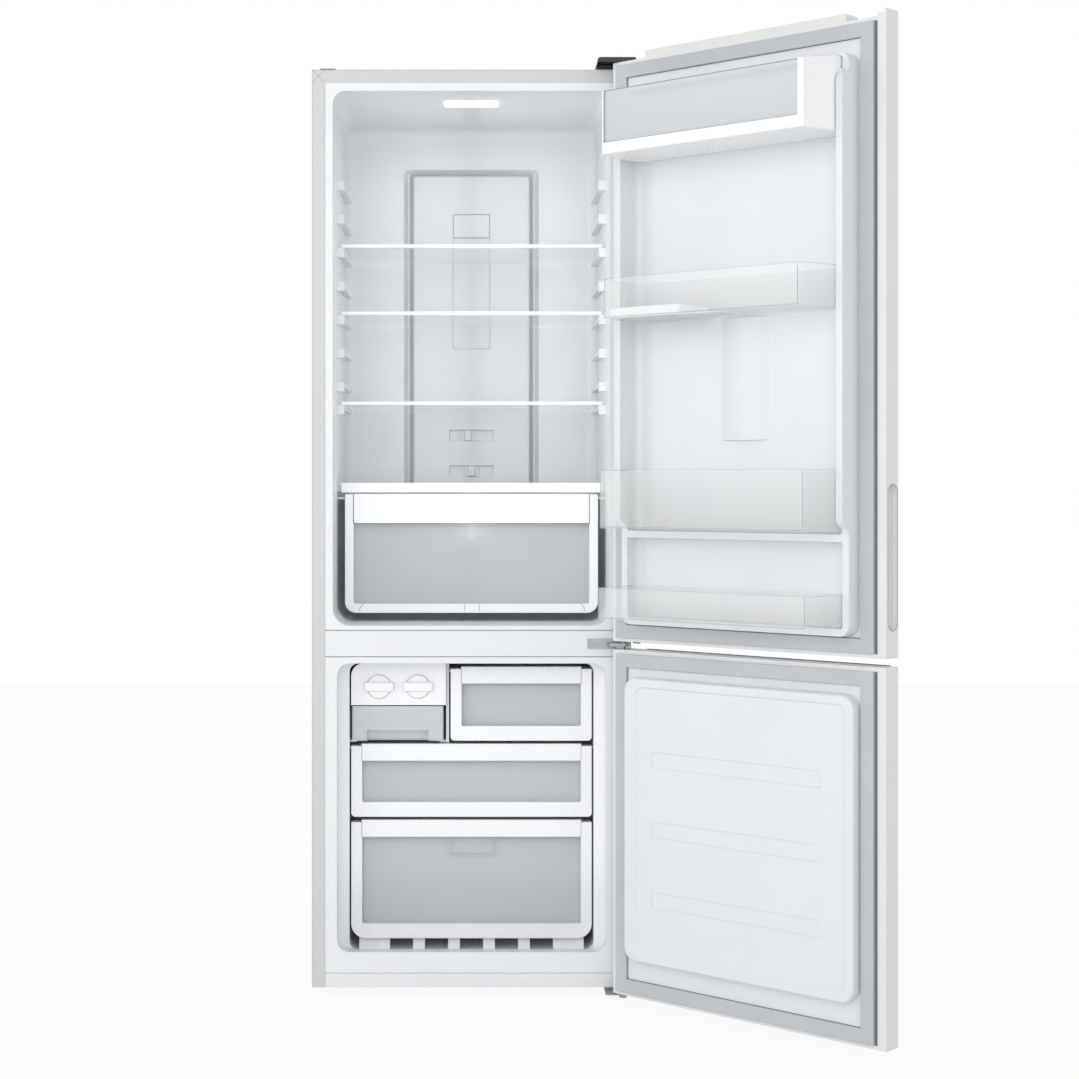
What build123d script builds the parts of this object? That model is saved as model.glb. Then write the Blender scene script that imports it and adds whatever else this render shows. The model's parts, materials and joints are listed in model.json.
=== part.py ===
from build123d import *
import os

# ============================================================ driving dimensions, mm
# Frame: X across the cabinet, Y from its front face to the back, Z up from the floor.

# cabinet
cabinet_width = 600
cabinet_height = 1726
cabinet_depth = 580
foot_gap = 16
steel = 1
front_rim = 24.5
mitre_width = 1.2
mitre_depth = 0.7
liner_wall = 2
side_wall = 39
top_wall = 40
strip_height = 27
strip_depth = 12
strip_edge = 1.5
compartment_wall = 71
rail_height = 51
rail_above_freezer = 12
rail_depth = 14
rail_edge = 1

# fridge compartment
fridge_depth = 430
fridge_corner = 24
fridge_foot_corner = 33
fridge_cove = 20
seam = 0.7

# freezer compartment: a wide mouth that tapers into the well for the drawers
freezer_floor_height = 66
freezer_height = 543
freezer_mouth_wall = 47
freezer_mouth_depth = 24
freezer_taper = 18
freezer_side_wall = 68
freezer_drop = 6
freezer_brow = 3
freezer_depth = 430
freezer_low_depth = 330
freezer_corner = 18
freezer_mouth_corner = 24

# machine compartment at the bottom of the back
machine_height = 232
machine_depth = 180
machine_roof = 20
roller_radius = 10
roller_width = 18
roller_inset = 40
roller_side_inset = 70
roller_gap = 1
roller_slot_end = 2
axle_radius = 3
ear_thickness = 2
foot_inset = 92
foot_side_inset = 50
foot_radius = 18
foot_height = 6
foot_edge = 2
foot_stem = 4

# gaps
gap = 0.3
shaft_gap = 0.05

# doors
door_side_gap = 2.5
door_thickness = 42
door_stand_off = 7
door_edge_radius = 7
door_cap = 14
door_drop = 2
door_spacing = 15.4
door_rise = 5
door_open_angle = 136.7
hinge_inset = 17
hinge_forward = 25.5
hinge_side_bevel = 7
pin_radius = 4
pin_depth = 10
pin_end_gap = 2
profile_width = 17
profile_rise = 11
gasket_band = 25
gasket_side_margin = 16.5
gasket_end_margin = 7
groove_width = 2
groove_depth = 1.2
dyke_width = 13
dyke_height = 45
dyke_inset = 52.5
dyke_edge = 4
pocket_height = 25
pocket_low_margin = 35.5
pocket_rise = 172
dyke_top_gap = 12
dyke_top_width = 7
dyke_crown = 24.5
dyke_corner = 20
dyke_foot_corner = 5
dyke_head_corner = 4
compartment_cove = 14
cap_box_height = 14
cap_box_end = 80.5
cap_box_inset = 1
cap_box_corner = 3
cap_box_edge = 2
grip_low = 45.5
grip_length = 247
grip_width = 30
grip_depth = 12
grip_shift = 1
grip_flat = 1
lip = 3
lip_height = 6
pull_groove_margins = (27.5, 67.5)
pull_groove_inset = 4
pull_groove_width = 12
pull_groove_depth = 11
pull_step = 3
pull_step_height = 45
dyke_step = 27
bulge_middle = -9.5
bulge_half = 51
bulge_height = 8
bulge_foot = 344
bulge_gap = 2
pad_inset = 50.5
pad_foot = 73
pad_crown = 48
pad_height = 18
pad_step = 3
pad_slope = 45
pad_rim = 15
pad_hinge_rim = 26
pad_corner = 25
pad_edge = 5
pad_shares = (0.2, 0.446, 0.69)
pad_band_end = 64
pad_band_height = 29
pad_band_depth = 1
pad_band_corner = 4

# hinges
hinge_plate = 3
hinge_corner = 6
top_plate_x = (-41, 15)
top_plate_y = (10, 58)
top_arm_x = (-15, 12)
top_arm_reach = 12
hinge_lift = 1.5
middle_plate_x = (-65, -13)
middle_plate_half = 9
middle_arm_x = (-28, 9)
middle_arm_reach = 9
bottom_plate_inset = 33
bottom_plate_depth = 70
bottom_lug_front = 5
bottom_nut_radius = 7
bottom_plate_gap = 1
cover_lift = 1
hinge_cover_height = 24
hinge_cover_inset = 65
hinge_cover_overhang = 6
hinge_cover_y = (-45, 62)
hinge_cover_brow = 14
hinge_cover_back = 16
hinge_cover_back_slope = 20
hinge_cover_side = 11
hinge_cover_slope = 8
hinge_cover_edge = 1.5
hinge_cover_wall = 2
plug_inset = 15
plug_length = 29
plug_y = (5, 45)
plug_height = 3
plug_edge = 1
screw_radius = 3.5
screw_height = 2.5
middle_screw_x = (-58, -38)
top_screw_x = (-34, 8)
top_screw_y = (28, 50)
rear_screw_inset = 15

# shelves
glass = 4
shelf_front = 127
shelf_gap = 1
shelf_wall_gap = 7
shelf_corner = 16
trim_height = 7
trim_depth = 12
trim_wall_gap = 8
rail_reach = 12
rail_front_gap = 2
lug_reach = 13
rail_thickness = 8
lug_height = 18
lug_length = 24
rail_count = 7
rail_crown = 150
lowest_rail = 464.5
low_shelf_level = 420
cover_level = 260
cover_trim_height = 19
cover_trim_rise = 5
trim_edge = 1.5
shelf_rails = (2, 4)

# drawers
drawer_wall = 2.5
front_thickness = 14
band_thickness = 4
band_slit = 1.2
front_face = 45
front_top_rail = 4
front_corner = 4
flange_thickness = 3
flange_gap = 1
flange_drop = 4
tub_lift = 2
drawer_wall_gap = 3
drawer_side = 21
drawer_foot = 28
drawer_band = 32
drawer_shoulder = 4.5
tub_inset = 16
ledge_reach = 13
ledge_thickness = 5
bucket_ledge = 4
divider_ledge = 9
ledge_gap = 5
ledge_end = 10
tub_depth = 285
low_tub_depth = 256
drawer_floor_gap = 16
drawer_ceiling_gap = 10
drawer_gap = 5.75
bottom_share = 0.446
middle_share = 0.275
small_corner = 8
tub_corner = 10
front_edge = 1.5
bottom_corner = 28
tab_width = 88
tab_height = 30
tab_corner = 8
tab_wall = 3
tab_rise = 2.5
floor_rib_width = 22.6
floor_rib_pitch = 66.8
floor_rib_count = 6
floor_rib_slope = 12
crisper_face = 128
crisper_foot_gap = 16
crisper_height = 233
crisper_tub_inset = 6
crisper_wall_gap = 15
crisper_side = 17
crisper_foot = 18
crisper_band = 59
crisper_tub_depth = 280
crisper_corner = 22
crisper_shoulder = 2.5
crisper_ledge_reach = 18

# ice maker
divider_place = -45.6
divider_thickness = 5.6
ice_share = 0.482
ice_wall = 2.5
ice_depth = 285
ice_corner = 24
ice_axis_rise = 35.4
ring_width = 1.4
ring_depth = 1.2
ring_gap = 0.6
tray_width = 66
tray_height = 24
tray_depth = 270
tray_pitch = 74.2
tray_wall = 2
tray_ribs = 5
knob_radius = 21.5
knob_disc = 3
knob_bar_length = 56
knob_bar_height = 17
knob_bar_depth = 6
knob_corner = 4
knob_edge = 2
tray_gap = 3
tray_shaft = 6
bucket_drop = 2
bucket_depth = 250
bucket_gap = 5
bucket_grip_half = 58
bucket_grip_height = 20
bucket_grip_depth = 14

# cooling
air_panel_face = 365
air_panel_thickness = 3
coil_rise = 40
coil_top_gap = 38.7
coil_gap = 5
coil_side_gap = 30
coil_fin_count = 24
coil_fin_thickness = 1
coil_tube_radius = 5
coil_tube_rows = 4
coil_bracket = 3
fan_radius = 40
fan_hub = 12
fan_drop = 64
fan_depth = 14
fan_blades = 5
blade_thickness = 2
blade_angle = 30
fan_ring_gap = 4
guard_bars = 3
guard_bar_width = 4
air_slot_length = 50
air_slot_width = 6
air_slot_pitch = (70, 12)
air_slot_count = (5, 2)
air_slot_rise = 25
motor_shaft = 3
motor_radius = 19
motor_gap = 1
motor_plate = 4
compressor_inset = 150
compressor_back = 90
compressor_radius = 68
compressor_height = 160
compressor_foot_height = 12
compressor_foot_radius = 9
compressor_foot_pitch = 109
compressor_plate = 4
drip_tray_insets = (260, 100)
drip_tray_height = 35
grille_middle = (-20, 100)
grille_pitch = (62, 14)
grille_count = (6, 9)
inlet_inset = 60
inlet_drop = 60
inlet_width = 28
inlet_height = 20
inlet_depth = 18
inlet_wall = 3
inlet_flange = (42, 2, 26)
inlet_pin = (2, 5)
inlet_pin_pitch = 7

# air duct on the back wall of the fridge
recess_side = 19.5
recess_crown = 15
recess_depth = 10
recess_slope = 8
recess_corner = 12
duct_half = 121.7
duct_foot = 248
duct_crown = 98
duct_thickness = 26
duct_corner = 7
duct_edge = 5
vent_shares = (0.385, 0.626, 0.9)
vent_length = 52
vent_width = 6
channel_half = 38.5
channel_share = 0.454
channel_depth = 1.5
channel_corner = 5
cover_crown = 81
cover_height = 48
cover_thickness = 2
cover_corner = 4
cover_edge = 1.5
slot_half = 46.5
slot_height = 23
slot_depth = 7
upper_slot = 356
lower_slot = 282
slider_width = 15
slider_rest = -7
slider_base = 3
slider_rise = 3
slider_edge = 1.5
lens_half = 53.5
lens_front = 103
lens_back = 157
lens_thickness = 3
lens_corner = 8
lens_edge = 2

# door bins
bin_wall = 2.2
bin_reach = 120
bin_side_gap = 2.5
bin_corner = 4
bin_back_corner = 16
bin_foot = 3
bin_back_gap = 1
bin_lug_margin = 10
bin_lug_depth = (15, 35)
upper_bin_drop = 444
upper_bin_height = 72.5
upper_bin_draw = 19.5
middle_bin_rise = 186.5
middle_bin_height = 104.5
middle_bin_draw = 9.5
bottom_bin_rise = 24
bottom_bin_height = 56
bottom_bin_draw = 5.5
dairy_drop = 148
dairy_height = 115
dairy_back_rise = 12
dairy_draw = 13.5
dairy_front_gap = 2
dairy_wall = 3
dairy_post = 11
dairy_hinge_post = 4
dairy_foot = 21
window_thickness = 3
window_overlap = 4
pivot_radius = 5
pivot_height = 4
pivot_drop = 33
pivot_depth = 7
egg_columns = 3
egg_rows = 2
egg_pitch = (48, 40)
egg_rim = 6
egg_radius = 18
egg_floor = 2
egg_tray_height = 18
egg_tray_inset = 96.5
egg_tongue = 75
egg_tongue_half = 30
egg_middle = 57

# ============================================================ derived places
base = foot_gap
top = base + cabinet_height
half = cabinet_width / 2
inner = half - steel
rim_half = half - front_rim
rim_top = top - front_rim
base_sheet = 2 * steel
strip_top = base + strip_height
fridge_half = half - side_wall
fridge_ceiling = top - top_wall
freezer_floor = base + freezer_floor_height
freezer_ceiling = freezer_floor + freezer_height
fridge_floor = freezer_ceiling + compartment_wall
rail_low = freezer_ceiling + rail_above_freezer
rail_high = rail_low + rail_height
mouth_half = half - freezer_mouth_wall
freezer_half = half - freezer_side_wall
well_floor = freezer_floor - freezer_drop
well_ceiling = freezer_ceiling - freezer_brow
well_start = freezer_mouth_depth + freezer_taper
machine_top = base + machine_height
machine_front = cabinet_depth - machine_depth
step_floor = machine_top + machine_roof

rail_middle = (rail_low + rail_high) / 2
upper_low = rail_middle + door_spacing / 2
upper_high = top + door_rise
lower_low = base - door_drop
lower_high = rail_middle - door_spacing / 2
door_half = half - door_side_gap
door_inner = -door_stand_off
door_outer = door_inner - door_thickness
door_back = door_inner - liner_wall
liner_edge = door_half - hinge_side_bevel + steel
skin_bevel = hinge_side_bevel - liner_wall
profile_edge = profile_width - door_half
hinge_x = half - hinge_inset
hinge_y = -hinge_forward
hinge_line = Axis((hinge_x, hinge_y, 0), (0, 0, 1))
dyke_half = door_half - dyke_inset
opening_half = dyke_half - dyke_width
bin_back_half = opening_half - bin_side_gap
upper_bin_half = bin_back_half - upper_bin_draw
middle_bin_half = bin_back_half - middle_bin_draw
bottom_bin_half = bin_back_half - bottom_bin_draw
dairy_half = bin_back_half - dairy_draw
egg_tray_place = bin_back_half - egg_tray_inset
cap_box_half = door_half - cap_box_end
pull_groove = (pull_groove_margins[0] - door_half, door_half - pull_groove_margins[1])
pad_half = door_half - pad_inset
pad_band_half = pad_half - pad_band_end
hinge_cover_x = (half - hinge_cover_inset, half + hinge_cover_overhang)
plug_x = (plug_inset - half, plug_inset + plug_length - half)
compressor_x = compressor_inset - half
drip_tray_x = (half - drip_tray_insets[0], half - drip_tray_insets[1])
inlet_x = half - inlet_inset

bottom_low = freezer_floor + drawer_floor_gap
small_high = freezer_ceiling - drawer_ceiling_gap
drawers_height = small_high - bottom_low - 2 * drawer_gap
bottom_high = bottom_low + bottom_share * drawers_height
middle_low = bottom_high + drawer_gap
middle_high = middle_low + middle_share * drawers_height
small_low = middle_high + drawer_gap
ice_low = small_low + ice_share * (small_high - small_low)
crisper_low = fridge_floor + crisper_foot_gap
crisper_high = crisper_low + crisper_height
drawer_half = freezer_half - drawer_wall_gap
tub_half = freezer_half - tub_inset
crisper_half = fridge_half - crisper_wall_gap
divider_left = divider_place - divider_thickness / 2
divider_right = divider_place + divider_thickness / 2
ice_axis = ice_low + ice_axis_rise
ice_left = -drawer_half
ice_right = divider_left - gap
tray_middle = (ice_left + ice_right) / 2
ice_back = front_face + ice_depth
tray_front = front_face + ice_wall + tray_gap
tray_back = tray_front + tray_depth
roller_x = half - roller_side_inset
roller_y = cabinet_depth - roller_inset
foot_x = half - foot_side_inset
recess_half = duct_half + recess_side
duct_low = fridge_floor + duct_foot
duct_high = fridge_ceiling - duct_crown
recess_low = duct_low - recess_crown
recess_high = duct_high + recess_crown
duct_face = fridge_depth + recess_depth - gap - duct_thickness
first_rail = fridge_floor + lowest_rail
rail_pitch = (fridge_ceiling - rail_crown - first_rail) / (rail_count - 1)
rail_levels = [first_rail + rail_pitch * step for step in range(rail_count)]
shelf_levels = [rail_levels[step] for step in shelf_rails]
shelf_levels.append(fridge_floor + low_shelf_level)
rail_levels.append(fridge_floor + low_shelf_level)
cover_floor = fridge_floor + cover_level
cover_high = duct_high - cover_crown
channel_low = duct_low + channel_share * (duct_high - duct_low)
upper_slot_low = fridge_floor + upper_slot
lower_slot_low = fridge_floor + lower_slot
upper_bin_low = fridge_ceiling - upper_bin_drop
upper_bin_high = upper_bin_low + upper_bin_height
middle_bin_low = fridge_floor + middle_bin_rise
middle_bin_high = middle_bin_low + middle_bin_height
bottom_bin_low = fridge_floor + bottom_bin_rise
bottom_bin_high = bottom_bin_low + bottom_bin_height
dairy_low = fridge_ceiling - dairy_drop
dairy_high = dairy_low + dairy_height
compressor_y = cabinet_depth - compressor_back


def facing(y):
    """Sketch plane at depth y: local x is +X, local y is +Z; a negative extrusion goes back."""
    return Plane.XZ.offset(-y)


def box_between(x, y, z, mode=Mode.ADD):
    """A box between pairs of limits, in the part being built."""
    with Locations(((x[0] + x[1]) / 2, (y[0] + y[1]) / 2, (z[0] + z[1]) / 2)):
        Box(abs(x[1] - x[0]), y[1] - y[0], z[1] - z[0], mode=mode)


def post(x, y, z, radius, mode=Mode.ADD):
    """An upright cylinder at x, y between a pair of heights."""
    with Locations((x, y, (z[0] + z[1]) / 2)):
        Cylinder(radius, z[1] - z[0], mode=mode)


def panel(x, z, radius=0, mode=Mode.ADD):
    """A rectangle between pairs of limits on the sketch plane, with rounded corners if asked."""
    with Locations(((x[0] + x[1]) / 2, (z[0] + z[1]) / 2)):
        if radius:
            RectangleRounded(x[1] - x[0], z[1] - z[0], radius, mode=mode)
        else:
            Rectangle(x[1] - x[0], z[1] - z[0], mode=mode)


# ============================================================ cabinet body
with BuildPart() as cabinet_shell:
    with BuildSketch(facing(0)):
        panel((-half, half), (base, top))
        panel((-inner, inner), (base, top - steel), mode=Mode.SUBTRACT)
    extrude(amount=-cabinet_depth)
    with BuildSketch(facing(0)):
        panel((-half, half), (base, top))
        panel((-rim_half, rim_half), (base, rim_top), mode=Mode.SUBTRACT)
    extrude(amount=-steel)
    for side in (-1, 1):
        centre = (side * (half - front_rim / 2), mitre_depth / 2, top - front_rim / 2)
        with Locations(Location(centre, (0, side * 45, 0))):
            Box(2 * front_rim, mitre_depth, mitre_width, mode=Mode.SUBTRACT)

with BuildPart() as rear_panel:
    with BuildSketch(Plane.YZ.offset(-inner)):
        panel((cabinet_depth - steel, cabinet_depth), (machine_top - steel, top - steel))
        panel((machine_front, cabinet_depth), (machine_top - steel, machine_top))
        panel((machine_front - steel, machine_front), (base + base_sheet, machine_top))
    extrude(amount=2 * inner)

with BuildPart() as base_plate:
    box_between((-inner, inner), (strip_depth, cabinet_depth - 2 * steel), (base, base + base_sheet))
    for side in (-1, 1):
        slot_half_width = roller_width / 2 + roller_gap
        slot_reach = roller_radius + roller_slot_end
        box_between(
            (side * roller_x - slot_half_width, side * roller_x + slot_half_width),
            (roller_y - slot_reach, roller_y + slot_reach),
            (base, base + base_sheet),
            mode=Mode.SUBTRACT,
        )
        for ear in (-1, 1):
            ear_x = side * roller_x + ear * (slot_half_width + ear_thickness / 2)
            box_between(
                (ear_x - ear_thickness / 2, ear_x + ear_thickness / 2),
                (roller_y - slot_reach - roller_gap, roller_y + slot_reach + roller_gap),
                (roller_radius - 2 * axle_radius, base + base_sheet),
            )
        with Locations(Location((side * roller_x, roller_y, roller_radius), (0, 90, 0))):
            Cylinder(axle_radius, 2 * slot_half_width + 2 * ear_thickness)
        post(side * foot_x, foot_inset, (base, base + base_sheet), foot_stem + shaft_gap, Mode.SUBTRACT)

with BuildPart() as rear_rollers:
    for side in (-1, 1):
        with Locations(Location((side * roller_x, roller_y, roller_radius), (0, 90, 0))):
            Cylinder(roller_radius, roller_width)
            Cylinder(axle_radius + shaft_gap, roller_width, mode=Mode.SUBTRACT)

with BuildPart() as levelling_feet:
    for side in (-1, 1):
        post(side * foot_x, foot_inset, (0, foot_height), foot_radius)
        post(side * foot_x, foot_inset, (foot_height, base + base_sheet), foot_stem)
    plate_edges = levelling_feet.edges().filter_by(GeomType.CIRCLE).sort_by(SortBy.RADIUS)[-4:]
    fillet(plate_edges.sort_by(Axis.Z)[-2:], foot_edge)

with BuildPart() as bottom_strip:
    box_between((-rim_half, rim_half), (0, strip_depth), (base, strip_top - seam))
    fillet(bottom_strip.edges().filter_by(Axis.X).sort_by(Axis.Y)[:2], strip_edge)

with BuildPart() as middle_rail:
    box_between((-rim_half, rim_half), (0, rail_depth), (rail_low + seam, rail_high - seam))
    fillet(middle_rail.edges().filter_by(Axis.X).sort_by(Axis.Y)[:2], rail_edge)


# ============================================================ liners and insulation
def fridge_space(extra):
    """The fridge compartment's hollow, grown on its sides and back by extra."""
    with BuildPart() as space:
        with BuildSketch(facing(0)) as outline:
            panel(
                (-fridge_half - extra, fridge_half + extra),
                (fridge_floor - extra, fridge_ceiling + extra),
            )
            fillet(outline.vertices().group_by(Axis.Y)[0], fridge_foot_corner + extra)
            fillet(outline.vertices().group_by(Axis.Y)[-1], fridge_corner + extra)
        extrude(amount=-fridge_depth - extra)
        fillet(space.faces().sort_by(Axis.Y)[-1].edges(), fridge_cove + extra)
        for depth, inset in ((fridge_depth, 0), (fridge_depth + recess_depth + extra, recess_slope)):
            with BuildSketch(facing(depth)):
                panel(
                    (inset - recess_half - extra, recess_half + extra - inset),
                    (recess_low + inset - extra, recess_high - inset + extra),
                    recess_corner - inset + extra,
                )
        loft()
    return space.part


def freezer_mouth(extra):
    """Outline of the freezer's wide mouth, on the sketch plane."""
    panel(
        (-mouth_half - extra, mouth_half + extra),
        (freezer_floor - extra, freezer_ceiling + extra),
        freezer_mouth_corner + extra,
    )


def freezer_well(extra, low):
    """Outline of the freezer's well above a floor at height low, on the sketch plane."""
    panel(
        (-freezer_half - extra, freezer_half + extra),
        (low - extra, well_ceiling + extra),
        freezer_corner + extra,
    )


def freezer_space(extra):
    """The freezer compartment's hollow, grown on its sides and back by extra."""
    with BuildPart() as space:
        with BuildSketch(facing(0)):
            freezer_mouth(extra)
        extrude(amount=-freezer_mouth_depth)
        with BuildSketch(facing(freezer_mouth_depth)):
            freezer_mouth(extra)
        with BuildSketch(facing(well_start)):
            freezer_well(extra, well_floor)
        loft()
        with BuildSketch(facing(well_start)):
            freezer_well(extra, well_floor)
        extrude(amount=-(freezer_low_depth + extra - well_start))
        with BuildSketch(facing(well_start)):
            freezer_well(extra, step_floor)
        extrude(amount=-(freezer_depth + extra - well_start))
    return space.part


fridge_hollow = fridge_space(0)
fridge_envelope = fridge_space(liner_wall)
freezer_hollow = freezer_space(0)
freezer_envelope = freezer_space(liner_wall)


def ledge_top(high):
    """Height of the ledge that carries the flange of a tub whose front is high at its top."""
    return high - flange_drop - flange_thickness - gap


crisper_ledge_top = ledge_top(crisper_high)

with BuildPart() as fridge_liner:
    with BuildSketch(facing(0)):
        panel((-rim_half, rim_half), (rail_high, rim_top))
    extrude(amount=-liner_wall)
    add(fridge_envelope)
    add(fridge_hollow, mode=Mode.SUBTRACT)
    rail_front = shelf_front + rail_front_gap
    for side in (-1, 1):
        wall = side * (fridge_half + liner_wall / 2)
        for level in rail_levels:
            box_between(
                (wall, side * (fridge_half - rail_reach)),
                (rail_front, fridge_depth - fridge_cove),
                (level - rail_thickness, level),
            )
            box_between(
                (wall, side * (fridge_half - lug_reach)),
                (rail_front, rail_front + lug_length),
                (level - lug_height, level),
            )
        box_between(
            (wall, side * (fridge_half - rail_reach)),
            (rail_front + trim_depth, fridge_depth - fridge_cove),
            (cover_floor - rail_thickness, cover_floor),
        )
        box_between(
            (wall, side * (fridge_half - crisper_ledge_reach)),
            (crisper_face + front_thickness + ledge_gap, crisper_face + crisper_tub_depth),
            (crisper_ledge_top - ledge_thickness, crisper_ledge_top),
        )


tub_face = front_face + front_thickness
ledge_front = tub_face + ledge_gap
ledge_back = tub_face + tub_depth - ledge_end

with BuildPart() as freezer_liner:
    with BuildSketch(facing(0)):
        panel((-rim_half, rim_half), (strip_top, rail_low))
    extrude(amount=-liner_wall)
    add(freezer_envelope)
    add(freezer_hollow, mode=Mode.SUBTRACT)
    ledges = [
        (-1, small_low - gap, bucket_ledge),
        (1, ledge_top(small_high), ledge_thickness),
        (-1, ledge_top(middle_high), ledge_thickness),
        (1, ledge_top(middle_high), ledge_thickness),
    ]
    for side, height, thickness in ledges:
        box_between(
            (side * (freezer_half + liner_wall / 2), side * (freezer_half - ledge_reach)),
            (ledge_front, ledge_back),
            (height - thickness, height),
        )
    for rib in range(floor_rib_count):
        rib_x = floor_rib_pitch * (rib - (floor_rib_count - 1) / 2)
        with BuildSketch(Plane.YZ.offset(rib_x - floor_rib_width / 2)):
            with BuildLine():
                Polyline(
                    (ledge_front - floor_rib_slope, well_floor - liner_wall / 2),
                    (ledge_front, bottom_low + tub_lift - gap),
                    (freezer_low_depth + liner_wall / 2, bottom_low + tub_lift - gap),
                    (freezer_low_depth + liner_wall / 2, well_floor - liner_wall / 2),
                    close=True,
                )
            make_face()
        extrude(amount=floor_rib_width)

with BuildPart() as cabinet_insulation:
    box_between((-inner, inner), (liner_wall, cabinet_depth - steel), (base + base_sheet, top - steel))
    box_between(
        (-inner, inner),
        (machine_front - steel, cabinet_depth),
        (base, machine_top),
        mode=Mode.SUBTRACT,
    )
    box_between((-rim_half, rim_half), (0, rail_depth), (rail_low, rail_high), mode=Mode.SUBTRACT)
    box_between((-rim_half, rim_half), (0, strip_depth), (base, strip_top), mode=Mode.SUBTRACT)
    add(fridge_envelope, mode=Mode.SUBTRACT)
    add(freezer_envelope, mode=Mode.SUBTRACT)

# ============================================================ fridge fittings
with BuildPart() as glass_shelves:
    for level in shelf_levels + [cover_floor]:
        box_between(
            (shelf_wall_gap - fridge_half, fridge_half - shelf_wall_gap),
            (shelf_front + trim_depth, duct_face - shelf_gap),
            (level, level + glass),
        )
    fillet(glass_shelves.edges().filter_by(Axis.Z).group_by(Axis.Y)[-1], shelf_corner)

with BuildPart() as shelf_trims:
    trim_half = fridge_half - trim_wall_gap
    for level in shelf_levels:
        box_between(
            (-trim_half, trim_half),
            (shelf_front, shelf_front + trim_depth),
            (level, level + trim_height),
        )
    cover_top = cover_floor + glass + cover_trim_rise
    box_between(
        (-trim_half, trim_half),
        (shelf_front, shelf_front + trim_depth),
        (cover_top - cover_trim_height, cover_top),
    )
    fillet(shelf_trims.edges().filter_by(Axis.X).group_by(Axis.Y)[0], trim_edge)

with BuildPart() as air_duct_panel:
    with BuildSketch(facing(duct_face)):
        panel((-duct_half, duct_half), (duct_low, duct_high), duct_corner)
    extrude(amount=-duct_thickness)
    fillet(air_duct_panel.faces().sort_by(Axis.Y)[0].edges(), duct_edge)
    box_between(
        (-channel_half, channel_half),
        (duct_face, duct_face + channel_depth),
        (channel_low, cover_high + gap),
        mode=Mode.SUBTRACT,
    )
    for share in vent_shares:
        level = duct_low + share * (duct_high - duct_low)
        for side in (-1, 1):
            box_between(
                (side * (duct_half - vent_width), side * duct_half),
                (duct_face + vent_width, duct_face + 2 * vent_width),
                (level - vent_length / 2, level + vent_length / 2),
                mode=Mode.SUBTRACT,
            )
    for low in (upper_slot_low, lower_slot_low):
        box_between(
            (-slot_half, slot_half),
            (duct_face, duct_face + slot_depth),
            (low, low + slot_height),
            mode=Mode.SUBTRACT,
        )

with BuildPart() as filter_cover:
    with BuildSketch(facing(duct_face + channel_depth)):
        panel(
            (seam - channel_half, channel_half - seam),
            (cover_high - cover_height, cover_high),
            cover_corner,
        )
    extrude(amount=cover_thickness)
    fillet(filter_cover.faces().sort_by(Axis.Y)[0].edges(), cover_edge)


def slider(x, low):
    """A vent slider in its slot: a flat base with a finger ridge that stands out."""
    with BuildPart() as piece:
        box_between(
            (x - slider_width, x + slider_width),
            (duct_face + slot_depth - slider_base - gap, duct_face + slot_depth - gap),
            (low + gap, low + slot_height - gap),
        )
        box_between(
            (x - slider_width / 2, x + slider_width / 2),
            (duct_face - slider_rise, duct_face + slot_depth - slider_base - gap),
            (low + seam, low + slot_height - seam),
        )
        fillet(piece.faces().sort_by(Axis.Y)[0].edges(), slider_edge)
    return piece


upper_vent_slider = slider(slider_rest, upper_slot_low)
lower_vent_slider = slider(0, lower_slot_low)

with BuildPart() as light_lens:
    with BuildSketch(Plane.XY.offset(fridge_ceiling)):
        panel((-lens_half, lens_half), (lens_front, lens_back), lens_corner)
    extrude(amount=-lens_thickness)
    fillet(light_lens.faces().sort_by(Axis.Z)[0].edges(), lens_edge)


# ============================================================ drawers
def drawer_tub(x, y, z, corner, flange):
    """An open-topped tub between limits, with side flanges that reach out to the flange limits."""
    with BuildPart() as tub:
        with BuildSketch(facing(y[0])) as outline:
            panel(x, z)
            fillet(outline.vertices().group_by(Axis.Y)[0], corner)
        extrude(amount=y[0] - y[1])
        with BuildSketch(facing(y[0] + drawer_wall)) as hollow:
            panel((x[0] + drawer_wall, x[1] - drawer_wall), (z[0] + drawer_wall, z[1]))
            fillet(hollow.vertices().group_by(Axis.Y)[0], corner - drawer_wall)
        extrude(amount=y[0] - y[1] + 2 * drawer_wall, mode=Mode.SUBTRACT)
        for limits in ((flange[0], x[0] + drawer_wall / 2), (x[1] - drawer_wall / 2, flange[1])):
            box_between(limits, y, (z[1] - flange_thickness, z[1]))
    return tub


def drawer_front(x, face, z, side, foot, band, corner, shoulder):
    """A drawer front: a frame round a window, with a pull band across the top and a finger gap behind.

    The sides of the frame end lower than the band by shoulder."""
    with BuildPart() as front:
        with BuildSketch(facing(face)) as outline:
            panel(x, z)
            fillet(outline.vertices().group_by(Axis.Y)[0], corner)
            fillet(outline.vertices().group_by(Axis.Y)[-1], front_corner)
        extrude(amount=-front_thickness)
        fillet(front.faces().sort_by(Axis.Y)[0].edges(), front_edge)
        window = (x[0] + side, x[1] - side)
        with BuildSketch(facing(face)) as opening:
            panel(window, (z[0] + foot, z[1] - band))
            fillet(opening.vertices().group_by(Axis.Y)[0], front_corner)
        extrude(amount=-front_thickness, mode=Mode.SUBTRACT)
        box_between(
            window,
            (face + band_thickness, face + front_thickness),
            (z[1] - band - steel, z[1] - front_top_rail),
            mode=Mode.SUBTRACT,
        )
        for end in (window[0] - band_slit, window[1]):
            box_between(
                (end, end + band_slit),
                (face, face + band_slit),
                (z[1] - band - gap, z[1]),
                mode=Mode.SUBTRACT,
            )
        for limits in ((x[0], window[0] - band_slit), (window[1] + band_slit, x[1])):
            box_between(limits, (face, face + front_thickness), (z[1] - shoulder, z[1]), Mode.SUBTRACT)
    return front


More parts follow.
